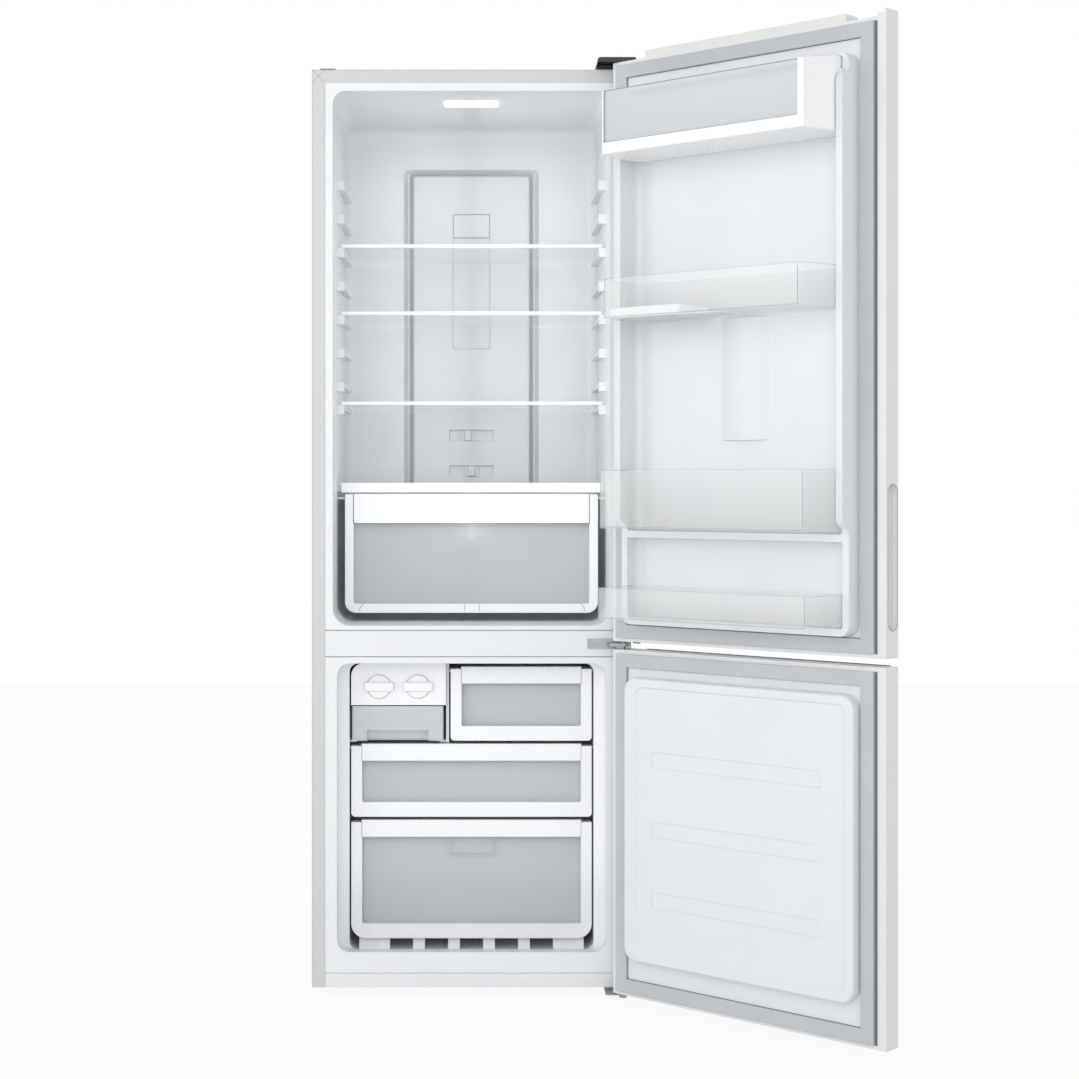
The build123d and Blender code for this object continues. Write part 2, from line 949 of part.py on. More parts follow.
flange_half = drawer_half - flange_gap
small_tub = drawer_tub(
    (divider_right + tub_inset - drawer_wall_gap, tub_half),
    (tub_face, tub_face + tub_depth),
    (small_low + tub_lift, small_high - flange_drop),
    tub_corner,
    (divider_right + flange_gap + seam, flange_half),
)
small_drawer_front = drawer_front(
    (divider_right + drawer_wall_gap, drawer_half),
    front_face,
    (small_low, small_high),
    drawer_side,
    drawer_foot,
    drawer_band,
    small_corner,
    drawer_shoulder,
)
middle_tub = drawer_tub(
    (-tub_half, tub_half),
    (tub_face, tub_face + tub_depth),
    (middle_low + tub_lift, middle_high - flange_drop),
    tub_corner,
    (-flange_half, flange_half),
)
middle_drawer_front = drawer_front(
    (-drawer_half, drawer_half),
    front_face,
    (middle_low, middle_high),
    drawer_side,
    drawer_foot,
    drawer_band,
    small_corner,
    drawer_shoulder,
)
bottom_tub_body = drawer_tub(
    (-tub_half, tub_half),
    (tub_face, tub_face + low_tub_depth),
    (bottom_low + tub_lift, bottom_high - flange_drop),
    bottom_corner - tub_inset / 2,
    (-flange_half, flange_half),
)

with BuildPart() as bottom_tub:
    add(bottom_tub_body.part)
    with BuildSketch(facing(tub_face)):
        with Locations((0, bottom_high - drawer_band - tab_height / 2)):
            tab_length = tab_height + 2 * tab_corner
            RectangleRounded(tab_width, tab_length, tab_corner)
            RectangleRounded(
                tab_width - 2 * tab_wall,
                tab_length - 2 * tab_wall,
                tab_corner - tab_wall,
                mode=Mode.SUBTRACT,
            )
    extrude(amount=tab_rise)

bottom_drawer_front = drawer_front(
    (-drawer_half, drawer_half),
    front_face,
    (bottom_low, bottom_high),
    drawer_side,
    drawer_foot,
    drawer_band,
    bottom_corner,
    drawer_shoulder,
)
crisper_tub_face = crisper_face + front_thickness
crisper_tub = drawer_tub(
    (crisper_tub_inset - crisper_half, crisper_half - crisper_tub_inset),
    (crisper_tub_face, crisper_tub_face + crisper_tub_depth),
    (crisper_low + tub_lift, crisper_high - flange_drop),
    crisper_corner - tub_lift,
    (-crisper_half, crisper_half),
)
crisper_front = drawer_front(
    (-crisper_half, crisper_half),
    crisper_face,
    (crisper_low, crisper_high),
    crisper_side,
    crisper_foot,
    crisper_band,
    crisper_corner,
    crisper_shoulder,
)

# ============================================================ ice maker
with BuildPart() as ice_maker_housing:
    housing_top = well_ceiling - gap
    with BuildSketch(facing(front_face)) as outline:
        panel((ice_left, ice_right), (ice_low, housing_top))
        fillet(outline.vertices().group_by(Axis.Y)[-1].sort_by(Axis.X)[0], ice_corner)
    extrude(amount=-ice_depth)
    with BuildSketch(facing(front_face + ice_wall)) as hollow:
        panel((ice_left + ice_wall, ice_right - ice_wall), (ice_low, housing_top - ice_wall))
        fillet(hollow.vertices().group_by(Axis.Y)[-1].sort_by(Axis.X)[0], ice_corner - ice_wall)
    extrude(amount=2 * ice_wall - ice_depth, mode=Mode.SUBTRACT)
    for side in (-1, 1):
        with Locations(
            Location(
                (tray_middle + side * tray_pitch / 2, front_face + ice_depth / 2, ice_axis), (90, 0, 0)
            )
        ):
            Cylinder(tray_shaft + shaft_gap, ice_depth, mode=Mode.SUBTRACT)
        with BuildSketch(facing(front_face)):
            with Locations((tray_middle + side * tray_pitch / 2, ice_axis)):
                Circle(knob_radius + ring_gap + ring_width)
                Circle(knob_radius + ring_gap, mode=Mode.SUBTRACT)
        extrude(amount=-ring_depth, mode=Mode.SUBTRACT)


def ice_tray(side):
    """A twisting ice tray on its shafts, and the knob that turns it at the front."""
    x = tray_middle + side * tray_pitch / 2
    low = ice_axis - tray_height / 2
    knob_back = front_face - gap
    with BuildPart() as tray:
        box_between(
            (x - tray_width / 2, x + tray_width / 2),
            (tray_front, tray_back),
            (low, low + tray_height),
        )
        box_between(
            (x - tray_width / 2 + tray_wall, x + tray_width / 2 - tray_wall),
            (tray_front + tray_wall, tray_back - tray_wall),
            (low + tray_wall, low + tray_height),
            mode=Mode.SUBTRACT,
        )
        for rib in range(1, tray_ribs + 1):
            rib_y = tray_front + tray_depth * rib / (tray_ribs + 1)
            box_between(
                (x - tray_width / 2, x + tray_width / 2),
                (rib_y - tray_wall / 2, rib_y + tray_wall / 2),
                (low, low + tray_height / 2),
            )
        with Locations(Location((x, (tray_back + ice_back) / 2, ice_axis), (90, 0, 0))):
            Cylinder(tray_shaft, ice_back - tray_back)
        with Locations(Location((x, (knob_back + tray_front) / 2, ice_axis), (90, 0, 0))):
            Cylinder(tray_shaft, tray_front - knob_back)
        with Locations(Location((x, knob_back - knob_disc / 2, ice_axis), (90, 0, 0))):
            Cylinder(knob_radius, knob_disc)
        with BuildSketch(facing(knob_back - knob_disc)):
            with Locations((x, ice_axis)):
                RectangleRounded(knob_bar_length, knob_bar_height, knob_corner)
        extrude(amount=knob_bar_depth)
        fillet(tray.faces().sort_by(Axis.Y)[0].edges(), knob_edge)
    return tray


left_ice_tray = ice_tray(-1)
right_ice_tray = ice_tray(1)

with BuildPart() as ice_bucket:
    bucket_left = bucket_gap - freezer_half
    bucket_right = divider_left - bucket_gap
    bucket_high = ice_low - bucket_drop
    box_between(
        (bucket_left, bucket_right),
        (front_face, front_face + bucket_depth),
        (small_low, bucket_high),
    )
    box_between(
        (bucket_left + drawer_wall, bucket_right - drawer_wall),
        (front_face + drawer_wall, front_face + bucket_depth - drawer_wall),
        (small_low + drawer_wall, bucket_high),
        mode=Mode.SUBTRACT,
    )
    grip_x = (bucket_left + bucket_right) / 2
    box_between(
        (grip_x - bucket_grip_half - drawer_wall, grip_x + bucket_grip_half + drawer_wall),
        (front_face, front_face + bucket_grip_depth + drawer_wall),
        (small_low, small_low + bucket_grip_height + drawer_wall),
    )
    box_between(
        (grip_x - bucket_grip_half, grip_x + bucket_grip_half),
        (front_face, front_face + bucket_grip_depth),
        (small_low, small_low + bucket_grip_height),
        mode=Mode.SUBTRACT,
    )

with BuildPart() as freezer_divider:
    divider_back = air_panel_face - gap
    box_between(
        (divider_left, divider_right),
        (tub_face + flange_gap, divider_back),
        (small_low - ledge_thickness, well_ceiling - gap),
    )
    box_between(
        (divider_left - ledge_reach, divider_left),
        (ledge_front, ledge_back),
        (small_low - ledge_thickness, small_low - gap),
    )
    box_between(
        (divider_right, divider_right + divider_ledge),
        (ledge_front, ledge_back),
        (ledge_top(small_high) - ledge_thickness, ledge_top(small_high)),
    )

# ============================================================ cooling
air_panel_low = step_floor + gap
fan_centre = freezer_ceiling - fan_drop
fan_opening = fan_radius + fan_ring_gap
fan_y = air_panel_face + air_panel_thickness + fan_ring_gap + fan_depth / 2

with BuildPart() as freezer_air_panel:
    with BuildSketch(facing(air_panel_face)):
        panel((gap - freezer_half, freezer_half - gap), (air_panel_low, well_ceiling - gap), freezer_corner)
        with Locations((0, fan_centre)):
            Circle(fan_opening, mode=Mode.SUBTRACT)
            with PolarLocations(fan_opening / 2, guard_bars):
                Rectangle(fan_opening + guard_bar_width, guard_bar_width, mode=Mode.ADD)
        with Locations((0, air_panel_low + air_slot_rise)):
            with GridLocations(*air_slot_pitch, *air_slot_count):
                SlotOverall(air_slot_length, air_slot_width, mode=Mode.SUBTRACT)
    extrude(amount=-air_panel_thickness)

coil_low = air_panel_low + coil_rise
coil_high = fan_centre - fan_opening - coil_top_gap
coil_centre = (coil_low + coil_high) / 2
coil_front = air_panel_face + air_panel_thickness + coil_gap
coil_back = freezer_depth - coil_gap
coil_half = freezer_half - coil_side_gap

with BuildPart() as evaporator:
    coil_y = (coil_front + coil_back) / 2
    for fin in range(coil_fin_count):
        fin_x = -coil_half + 2 * coil_half * fin / (coil_fin_count - 1)
        with Locations((fin_x, coil_y, coil_centre)):
            Box(coil_fin_thickness, coil_back - coil_front, coil_high - coil_low)
    for row in range(coil_tube_rows):
        tube_z = coil_low + (coil_high - coil_low) * (row + 0.5) / coil_tube_rows
        with Locations(Location((0, coil_y, tube_z), (0, 90, 0))):
            Cylinder(coil_tube_radius, 2 * (freezer_half - gap))
    for side in (-1, 1):
        box_between(
            (side * (freezer_half - gap), side * (freezer_half - gap - coil_bracket)),
            (coil_front, freezer_depth - gap),
            (coil_low, coil_high),
        )

with BuildPart() as evaporator_fan:
    with Locations(Location((0, fan_y, fan_centre), (90, 0, 0))):
        Cylinder(fan_hub, fan_depth)
        with PolarLocations((fan_hub + fan_radius - blade_thickness) / 2, fan_blades):
            blade_length = fan_radius - fan_hub + blade_thickness
            Box(blade_length, blade_thickness, fan_depth, rotation=(blade_angle, 0, 0))
        Cylinder(motor_shaft + shaft_gap, fan_depth, mode=Mode.SUBTRACT)

with BuildPart() as fan_motor:
    motor_front = fan_y + fan_depth / 2 + motor_gap
    motor_back = freezer_depth - gap
    with Locations(Location((0, (motor_front + motor_back) / 2, fan_centre), (90, 0, 0))):
        Cylinder(motor_radius, motor_back - motor_front)
    with Locations(Location((0, fan_y, fan_centre), (90, 0, 0))):
        Cylinder(motor_shaft, fan_depth + 2 * motor_gap)
    box_between(
        (-fan_radius, fan_radius),
        (motor_back - motor_plate, motor_back),
        (fan_centre - fan_hub, fan_centre + fan_hub),
    )

deck = base + base_sheet

with BuildPart() as compressor:
    plate_low = deck + compressor_foot_height
    plate_high = plate_low + compressor_plate
    post(compressor_x, compressor_y, (plate_high - steel, deck + compressor_height), compressor_radius)
    fillet(compressor.edges().filter_by(GeomType.CIRCLE), compressor_radius / 3)
    box_between(
        (compressor_x - compressor_radius, compressor_x + compressor_radius),
        (compressor_y - compressor_radius, compressor_y + compressor_radius),
        (plate_low, plate_high),
    )
    with Locations((compressor_x, compressor_y, (deck + plate_low) / 2)):
        with GridLocations(compressor_foot_pitch, compressor_foot_pitch, 2, 2):
            Cylinder(compressor_foot_radius, compressor_foot_height)

with BuildPart() as drip_tray:
    drip_tray_y = (compressor_y - compressor_radius, compressor_y + compressor_radius)
    box_between(drip_tray_x, drip_tray_y, (deck, deck + drip_tray_height))
    box_between(
        (drip_tray_x[0] + drawer_wall, drip_tray_x[1] - drawer_wall),
        (drip_tray_y[0] + drawer_wall, drip_tray_y[1] - drawer_wall),
        (deck + drawer_wall, deck + drip_tray_height),
        mode=Mode.SUBTRACT,
    )

inlet_z = machine_top - inlet_drop

with BuildPart() as rear_grille:
    with BuildSketch(facing(cabinet_depth - 2 * steel)):
        panel((-inner, inner), (deck, machine_top - steel - gap))
        with Locations((grille_middle[0], deck + grille_middle[1])):
            with GridLocations(*grille_pitch, *grille_count):
                SlotOverall(air_slot_length, air_slot_width, mode=Mode.SUBTRACT)
        with Locations((inlet_x, inlet_z)):
            Rectangle(inlet_width + 2 * gap, inlet_height + 2 * gap, mode=Mode.SUBTRACT)
    extrude(amount=-2 * steel)

with BuildPart() as power_inlet:
    with Locations((inlet_x, cabinet_depth - inlet_depth / 2, inlet_z)):
        Box(inlet_width, inlet_depth, inlet_height)
    with Locations((inlet_x, cabinet_depth + inlet_flange[1] / 2, inlet_z)):
        Box(*inlet_flange)
    with Locations((inlet_x, cabinet_depth + inlet_flange[1] - inlet_depth / 2, inlet_z)):
        Box(inlet_width - 2 * inlet_wall, inlet_depth, inlet_height - 2 * inlet_wall, mode=Mode.SUBTRACT)
    for pin_x in (-inlet_pin_pitch, 0, inlet_pin_pitch):
        with Locations((inlet_x + pin_x, cabinet_depth - inlet_depth / 2, inlet_z)):
            Box(inlet_pin[0], inlet_depth, inlet_pin[1])

# ============================================================ hinges
arm_low = upper_high + hinge_lift
arm_high = arm_low + hinge_plate

with BuildPart() as top_hinge:
    plate_x = (hinge_x + top_plate_x[0], hinge_x + top_plate_x[1])
    box_between(plate_x, top_plate_y, (top, top + hinge_plate))
    box_between(plate_x, (top_plate_y[0], top_plate_y[0] + 2 * hinge_plate), (top, arm_high))
    box_between(
        (hinge_x + top_arm_x[0], hinge_x + top_arm_x[1]),
        (hinge_y - top_arm_reach, top_plate_y[0] + hinge_plate),
        (arm_low, arm_high),
    )
    post(hinge_x, hinge_y, (upper_high - pin_depth, arm_high), pin_radius)

cover_z = top + hinge_cover_height
cover_brow = top + hinge_cover_brow
cover_foot = upper_high + cover_lift
cover_front = hinge_cover_y[0]
cover_back = hinge_cover_y[1]

with BuildPart() as top_hinge_cover:
    with BuildSketch(Plane.YZ.offset(hinge_cover_x[0])):
        with BuildLine():
            Polyline(
                (cover_front, cover_foot),
                (gap, cover_foot),
                (gap, top),
                (cover_back, top),
                (cover_back, top + hinge_cover_back),
                (cover_back - hinge_cover_back_slope, cover_z),
                (0, cover_z),
                (cover_front, cover_brow),
                close=True,
            )
        make_face()
    extrude(amount=hinge_cover_x[1] - hinge_cover_x[0])
    with BuildSketch(facing(cover_front)):
        with BuildLine():
            Polyline(
                (hinge_cover_x[0], top + hinge_cover_side),
                (hinge_cover_x[0] + hinge_cover_slope, cover_z),
                (hinge_cover_x[0], cover_z),
                close=True,
            )
        make_face()
    extrude(amount=cover_front - cover_back, mode=Mode.SUBTRACT)
    fillet(top_hinge_cover.faces().filter_by(Axis.Z).sort_by(Axis.Z)[-1].edges(), hinge_cover_edge)
    hollow_right = hinge_cover_x[1] - hinge_cover_wall
    hollow_back = cover_back - hinge_cover_wall
    hollow_top = top + hinge_cover_side - gap
    box_between(
        (hinge_cover_x[0] + hinge_cover_wall, hollow_right),
        (cover_front + hinge_cover_wall, hollow_back),
        (cover_foot, hollow_top),
        mode=Mode.SUBTRACT,
    )
    box_between(
        (hinge_cover_x[0] + hinge_cover_wall, hollow_right),
        (hinge_cover_wall + gap, hollow_back),
        (top, cover_foot),
        mode=Mode.SUBTRACT,
    )
    box_between(
        (hinge_cover_x[0] + hinge_cover_slope + hinge_cover_wall, hollow_right),
        (0, cover_back - hinge_cover_back_slope),
        (hollow_top, cover_z - hinge_cover_wall),
        mode=Mode.SUBTRACT,
    )

with BuildPart() as cabinet_top_plug:
    box_between(plug_x, plug_y, (top, top + plug_height))
    fillet(cabinet_top_plug.faces().sort_by(Axis.Z)[-1].edges(), plug_edge)

with BuildPart() as top_covers:
    add(top_hinge_cover.part)
    add(cabinet_top_plug.part)

arm_middle = (lower_high + upper_low) / 2

with BuildPart() as middle_hinge:
    box_between(
        (hinge_x + middle_plate_x[0], hinge_x + middle_plate_x[1]),
        (-hinge_plate, 0),
        (arm_middle - middle_plate_half, arm_middle + middle_plate_half),
    )
    box_between(
        (hinge_x + middle_arm_x[0], hinge_x + middle_arm_x[1]),
        (hinge_y - middle_arm_reach, 0),
        (arm_middle - hinge_plate, arm_middle + hinge_plate),
    )
    fillet(middle_hinge.edges().filter_by(Axis.Z).group_by(Axis.Y)[0], hinge_corner)
    post(hinge_x, hinge_y, (lower_high - pin_depth, upper_low + pin_depth), pin_radius)

plate_top = lower_low - bottom_plate_gap

with BuildPart() as bottom_hinge:
    plate_x = (hinge_x - bottom_plate_inset, inner)
    plate_y = (hinge_y - top_arm_reach, bottom_plate_depth)
    box_between(plate_x, plate_y, (plate_top - hinge_plate, plate_top))
    box_between(plate_x, (bottom_lug_front, bottom_plate_depth), (plate_top, base))
    fillet(bottom_hinge.edges().filter_by(Axis.Z).group_by(Axis.Y)[0], hinge_corner)
    post(hinge_x, hinge_y, (plate_top - 3 * hinge_plate, plate_top - hinge_plate), bottom_nut_radius)
    post(hinge_x, hinge_y, (plate_top, lower_low + pin_depth), pin_radius)

with BuildPart() as cabinet_screws:
    for x in middle_screw_x:
        with Locations(Location((hinge_x + x, -hinge_plate - screw_height / 2, arm_middle), (90, 0, 0))):
            Cylinder(screw_radius, screw_height)
    for x in top_screw_x:
        for y in top_screw_y:
            post(hinge_x + x, y, (top + hinge_plate, top + hinge_plate + screw_height), screw_radius)
    for x in (rear_screw_inset - inner, inner - rear_screw_inset):
        for z in (deck + rear_screw_inset, machine_top - rear_screw_inset):
            with Locations(Location((x, cabinet_depth + screw_height / 2, z), (90, 0, 0))):
                Cylinder(screw_radius, screw_height)


# ============================================================ doors, drawn closed
def door_section(x, y, radius, bevel):
    """A door section seen from above, on the hinge side its outer edge rounded, its inner one bevelled."""
    with BuildSketch(Plane.XY) as section:
        panel(x, y)
        corners = section.vertices().group_by(Axis.X)[-1].sort_by(Axis.Y)
        chamfer(corners[1], bevel)
        fillet(section.vertices().group_by(Axis.X)[-1].sort_by(Axis.Y)[0], radius)
    return section.sketch


def outer_section():
    """The section of a door's skin and caps, seen from above."""
    return door_section(
        (profile_edge, door_half), (door_outer, door_back), door_edge_radius, skin_bevel
    )


def foam_section():
    """The section of the foam inside a door's skin, seen from above."""
    return door_section(
        (profile_edge, door_half - steel),
        (door_outer + steel, door_back),
        door_edge_radius - steel,
        skin_bevel + steel / 2,
    )


def door_skin(low, high):
    """The steel of a door: its outer face and the return round its hinge side."""
    with BuildPart() as skin:
        with BuildSketch(Plane.XY.offset(low + door_cap)):
            add(outer_section())
            add(foam_section(), mode=Mode.SUBTRACT)
        extrude(amount=high - low - 2 * door_cap)
    return skin


def door_foam(low, high):
    """The foam that fills a door between its skin, liner and caps."""
    with BuildPart() as foam:
        with BuildSketch(Plane.XY.offset(low + door_cap)):
            add(foam_section())
        extrude(amount=high - low - 2 * door_cap)
    return foam


def door_caps(low, high):
    """The end caps of a door, each bored for its hinge pin."""
    with BuildPart() as caps:
        bore_depth = pin_depth + pin_end_gap
        for end, bore in ((low, low), (high - door_cap, high - bore_depth)):
            with BuildSketch(Plane.XY.offset(end)):
                add(outer_section())
            extrude(amount=door_cap)
            post(hinge_x, hinge_y, (bore, bore + bore_depth), pin_radius + shaft_gap, Mode.SUBTRACT)
    return caps.part


def door_gasket(low, high):
    """The magnetic gasket of a door, with two grooves round its face."""
    edge = door_half - gasket_side_margin
    bottom = low + gasket_end_margin
    crown = high - gasket_end_margin
    with BuildPart() as ring:
        with BuildSketch(facing(door_inner)):
            panel((-edge, edge), (bottom, crown))
            panel(
                (gasket_band - edge, edge - gasket_band),
                (bottom + gasket_band, crown - gasket_band),
                mode=Mode.SUBTRACT,
            )
        extrude(amount=gap - door_stand_off)
        for inset in (gasket_band / 4, gasket_band * 2 / 3):
            with BuildSketch(facing(-gap)):
                panel((inset - edge, edge - inset), (bottom + inset, crown - inset))
                inside = inset + groove_width
                panel(
                    (inside - edge, edge - inside),
                    (bottom + inside, crown - inside),
                    mode=Mode.SUBTRACT,
                )
            extrude(amount=groove_depth, mode=Mode.SUBTRACT)
    return ring


# --- upper door
pocket_low = upper_low + pocket_low_margin
pocket_high = pocket_low + pocket_rise
dyke_top = fridge_ceiling - dyke_top_gap



def compartment(low, high):
    """A hollow of the upper door's liner between a pair of heights, rounded where its walls meet."""
    with BuildPart() as hollow:
        with BuildSketch(Plane.XY.offset(low)) as plan:
            panel((-opening_half, opening_half), (door_inner, dyke_height + liner_wall))
            fillet(plan.vertices().group_by(Axis.Y)[0], compartment_cove)
        extrude(amount=high - low)
        fillet(hollow.faces().sort_by(Axis.Z)[0].edges().sort_by(Axis.Y)[:-1], dyke_foot_corner)
        fillet(hollow.faces().sort_by(Axis.Z)[-1].edges().sort_by(Axis.Y)[:-1], dyke_head_corner)
    return hollow.part


with BuildPart() as upper_door_liner:
    crown_low = dyke_top - dyke_crown
    box_between((profile_edge, liner_edge), (door_back, door_inner), (upper_low, upper_high))
    with BuildSketch(Plane.YZ.offset(-dyke_half)):
        with BuildLine():
            Polyline(
                (pocket_height, pocket_high),
                (pocket_height, pocket_low),
                (door_inner, pocket_low),
                (door_inner, dyke_top),
                (pocket_height, dyke_top),
                (pocket_height, crown_low),
            )
            Spline(
                (pocket_height, crown_low),
                (dyke_height, crown_low - dyke_step),
                tangents=[(0, -1), (0, -1)],
            )
            Line((dyke_height, crown_low - dyke_step), (dyke_height, pocket_high + dyke_step))
            Spline(
                (dyke_height, pocket_high + dyke_step),
                (pocket_height, pocket_high),
                tangents=[(0, -1), (0, -1)],
            )
        make_face()
    extrude(amount=2 * dyke_half)
    fillet(
        upper_door_liner.edges().filter_by(Axis.Y).filter_by(lambda e: e.length > pocket_height),
        dyke_corner,
    )
    add(compartment(pocket_high, dyke_top - dyke_top_width), mode=Mode.SUBTRACT)
    add(compartment(pocket_low + dyke_width, pocket_high - dyke_width), mode=Mode.SUBTRACT)
    bulge_low = fridge_floor + bulge_foot
    with BuildSketch(Plane.XY.offset(bulge_low)):
        with BuildLine():
            ThreePointArc(
                (bulge_middle - bulge_half, door_inner),
                (bulge_middle, door_inner + bulge_height),
                (bulge_middle + bulge_half, door_inner),
            )
            Polyline(
                (bulge_middle + bulge_half, door_inner),
                (bulge_middle + bulge_half, door_inner - liner_wall / 2),
                (bulge_middle - bulge_half, door_inner - liner_wall / 2),
                (bulge_middle - bulge_half, door_inner),
            )
        make_face()
    extrude(amount=upper_bin_low - bulge_gap - bulge_low)
    for bin_low, bin_high in (
        (upper_bin_low, upper_bin_high),
        (middle_bin_low, middle_bin_high),
        (dairy_low, dairy_high),
    ):
        for side in (-1, 1):
            box_between(
                (side * (opening_half + dyke_width / 2), side * (bin_back_half + gap)),
                bin_lug_depth,
                (bin_low + bin_lug_margin, bin_high - bin_lug_margin),
            )

upper_door_skin = door_skin(upper_low, upper_high)
upper_door_foam = door_foam(upper_low, upper_high)
upper_door_gasket = door_gasket(upper_low, upper_high)

upper_caps = door_caps(upper_low, upper_high)
lower_caps = door_caps(lower_low, lower_high)

with BuildPart() as upper_door_caps:
    add(upper_caps)
    with BuildSketch(Plane.XY.offset(upper_high)):
        panel(
            (-cap_box_half, cap_box_half),
            (door_outer + cap_box_inset, door_inner - cap_box_inset),
            cap_box_corner,
        )
    extrude(amount=cap_box_height)
    fillet(upper_door_caps.faces().sort_by(Axis.Z)[-1].edges(), cap_box_edge)


def edge_profile(low, high):
    """The free-edge profile of a door, its outer edge rounded."""
    with BuildPart() as profile:
        with BuildSketch(Plane.XY.offset(low)) as section:
            panel((-door_half, profile_edge), (door_outer, door_inner))
            fillet(section.vertices().group_by(Axis.X)[0].sort_by(Axis.Y)[0], door_edge_radius)
        extrude(amount=high - low)
    return profile.part


upper_profile = edge_profile(upper_low, upper_high + profile_rise)
lower_profile = edge_profile(lower_low, lower_high)

with BuildPart() as upper_door_grip:
    add(upper_profile)
    grip_middle = (door_outer + door_inner) / 2 + grip_shift
    grip_z = upper_low + grip_low + grip_length / 2
    with BuildSketch(Plane.YZ.offset(-door_half)):
        with Locations((grip_middle, grip_z)):
            RectangleRounded(grip_width, grip_length, grip_width / 2 - grip_flat)
    extrude(amount=grip_depth, mode=Mode.SUBTRACT)
    box_between(
        (profile_edge - profile_width + lip, profile_edge),
        (door_outer + lip, door_inner),
        (upper_high + profile_rise - lip_height, upper_high + profile_rise),
        mode=Mode.SUBTRACT,
    )


# --- door bins
def bin_outline(front_half, front, wall):
    """Plan of a door bin: full width behind, narrower at its front, drawn in by wall all round."""
    with BuildSketch(Plane.XY) as plan:
        with BuildLine():
            Polyline(
                (-bin_back_half, door_inner + bin_back_gap),
                (bin_back_half, door_inner + bin_back_gap),
                (bin_back_half, bin_bend),
                (front_half, front),
                (-front_half, front),
                (-bin_back_half, bin_bend),
                close=True,
            )
        make_face()
        fillet(plan.vertices().group_by(Axis.Y)[-1], bin_corner)
        fillet(plan.vertices().sort_by(Axis.Y)[2:4], bin_corner)
        fillet(plan.vertices().group_by(Axis.Y)[0], bin_back_corner)
        if wall:
            offset(amount=-wall, mode=Mode.REPLACE)
    return plan.sketch


def door_bin(front_half, front, low, high, wall):
    """An open bin of the door, between a pair of heights."""
    with BuildPart() as piece:
        with BuildSketch(Plane.XY.offset(low)):
            add(bin_outline(front_half, front, 0))
        extrude(amount=high - low)
        fillet(piece.faces().sort_by(Axis.Z)[0].edges(), bin_foot)
        with BuildSketch(Plane.XY.offset(low + wall)):
            add(bin_outline(front_half, front, wall))
        extrude(amount=high - low - wall, mode=Mode.SUBTRACT)
    return piece


bin_bend = dyke_height - bin_back_gap
dairy_front = bin_reach - dairy_front_gap
dairy_crown = dairy_high + dairy_back_rise
upper_bin = door_bin(upper_bin_half, bin_reach, upper_bin_low, upper_bin_high, bin_wall)
middle_bin = door_bin(middle_bin_half, bin_reach, middle_bin_low, middle_bin_high, bin_wall)
bottom_bin = door_bin(bottom_bin_half, bin_reach, bottom_bin_low, bottom_bin_high, bin_wall)
dairy_body = door_bin(dairy_half, dairy_front, dairy_low, dairy_crown, dairy_wall)

with BuildPart() as dairy_bin:
    add(dairy_body.part)
    with BuildSketch(Plane.YZ.offset(-bin_back_half)):
        with BuildLine():
            Polyline(
                (bin_bend, dairy_crown),
                (dairy_front, dairy_high),
                (dairy_front, dairy_crown),
                close=True,
            )
        make_face()
    extrude(amount=2 * bin_back_half, mode=Mode.SUBTRACT)
    box_between(
        (dairy_post - dairy_half, dairy_half - dairy_hinge_post),
        (dairy_front - dairy_wall, dairy_front),
        (dairy_low + dairy_foot, dairy_crown),
        mode=Mode.SUBTRACT,
    )
    pivot_place = (bin_back_half - dairy_wall, dyke_height + pivot_depth, dairy_high - pivot_drop)
    with Locations(Location(pivot_place, (0, 90, 0))):
        Cylinder(pivot_radius, pivot_height)

with BuildPart() as dairy_window:
    window_front = dairy_front - dairy_wall - gap
    box_between(
        (dairy_post - window_overlap - dairy_half, dairy_half - dairy_wall - seam),
        (window_front - window_thickness, window_front),
        (dairy_low + dairy_wall + gap, dairy_high),
    )

with BuildPart() as egg_tray:
    egg_low = upper_bin_low + bin_wall
    egg_half = egg_pitch[0] * egg_columns / 2 + egg_rim
    egg_reach = egg_pitch[1] * egg_rows / 2 + egg_rim
    box_between(
        (egg_tray_place - egg_half, egg_tray_place + egg_half),
        (egg_middle - egg_reach, egg_middle + egg_reach),
        (egg_low, egg_low + egg_tray_height),
    )
    fillet(egg_tray.edges().filter_by(Axis.Z), egg_rim)
    box_between(
        (egg_tray_place - egg_half - egg_tongue, egg_tray_place - egg_half + egg_rim / 2),
        (egg_middle - egg_tongue_half, egg_middle + egg_tongue_half),
        (egg_low, egg_low + egg_floor),
    )
    with Locations((egg_tray_place, egg_middle, egg_low + egg_tray_height / 2 + egg_floor)):
        with GridLocations(*egg_pitch, egg_columns, egg_rows):
            Cylinder(egg_radius, egg_tray_height, mode=Mode.SUBTRACT)

# --- lower door
pad_low = lower_low + pad_foot
pad_high = lower_high - pad_crown

with BuildPart() as lower_door_liner:
    with BuildSketch(facing(door_inner)):
        panel((-pad_half, pad_half), (pad_low, pad_high), pad_corner)
    extrude(amount=-pad_height - door_stand_off)
    fillet(lower_door_liner.faces().sort_by(Axis.Y)[-1].edges(), pad_edge)
    with BuildSketch(facing(pad_height)):
        panel(
            (pad_rim - pad_half, pad_half - pad_hinge_rim),
            (pad_low + pad_rim, pad_high - pad_rim),
            pad_corner - pad_rim / 2,
        )
    extrude(amount=pad_step, taper=pad_slope, mode=Mode.SUBTRACT)
    with BuildSketch(facing(pad_height - pad_step)):
        for share in pad_shares:
            band_low = pad_low + share * (pad_high - pad_low)
            panel(
                (-pad_band_half, pad_band_half),
                (band_low, band_low + pad_band_height),
                pad_band_corner,
            )
    extrude(amount=pad_band_depth, mode=Mode.SUBTRACT)
    box_between((profile_edge, liner_edge), (door_back, door_inner), (lower_low, lower_high))

lower_door_skin = door_skin(lower_low, lower_high)
lower_door_foam = door_foam(lower_low, lower_high)
lower_door_gasket = door_gasket(lower_low, lower_high)

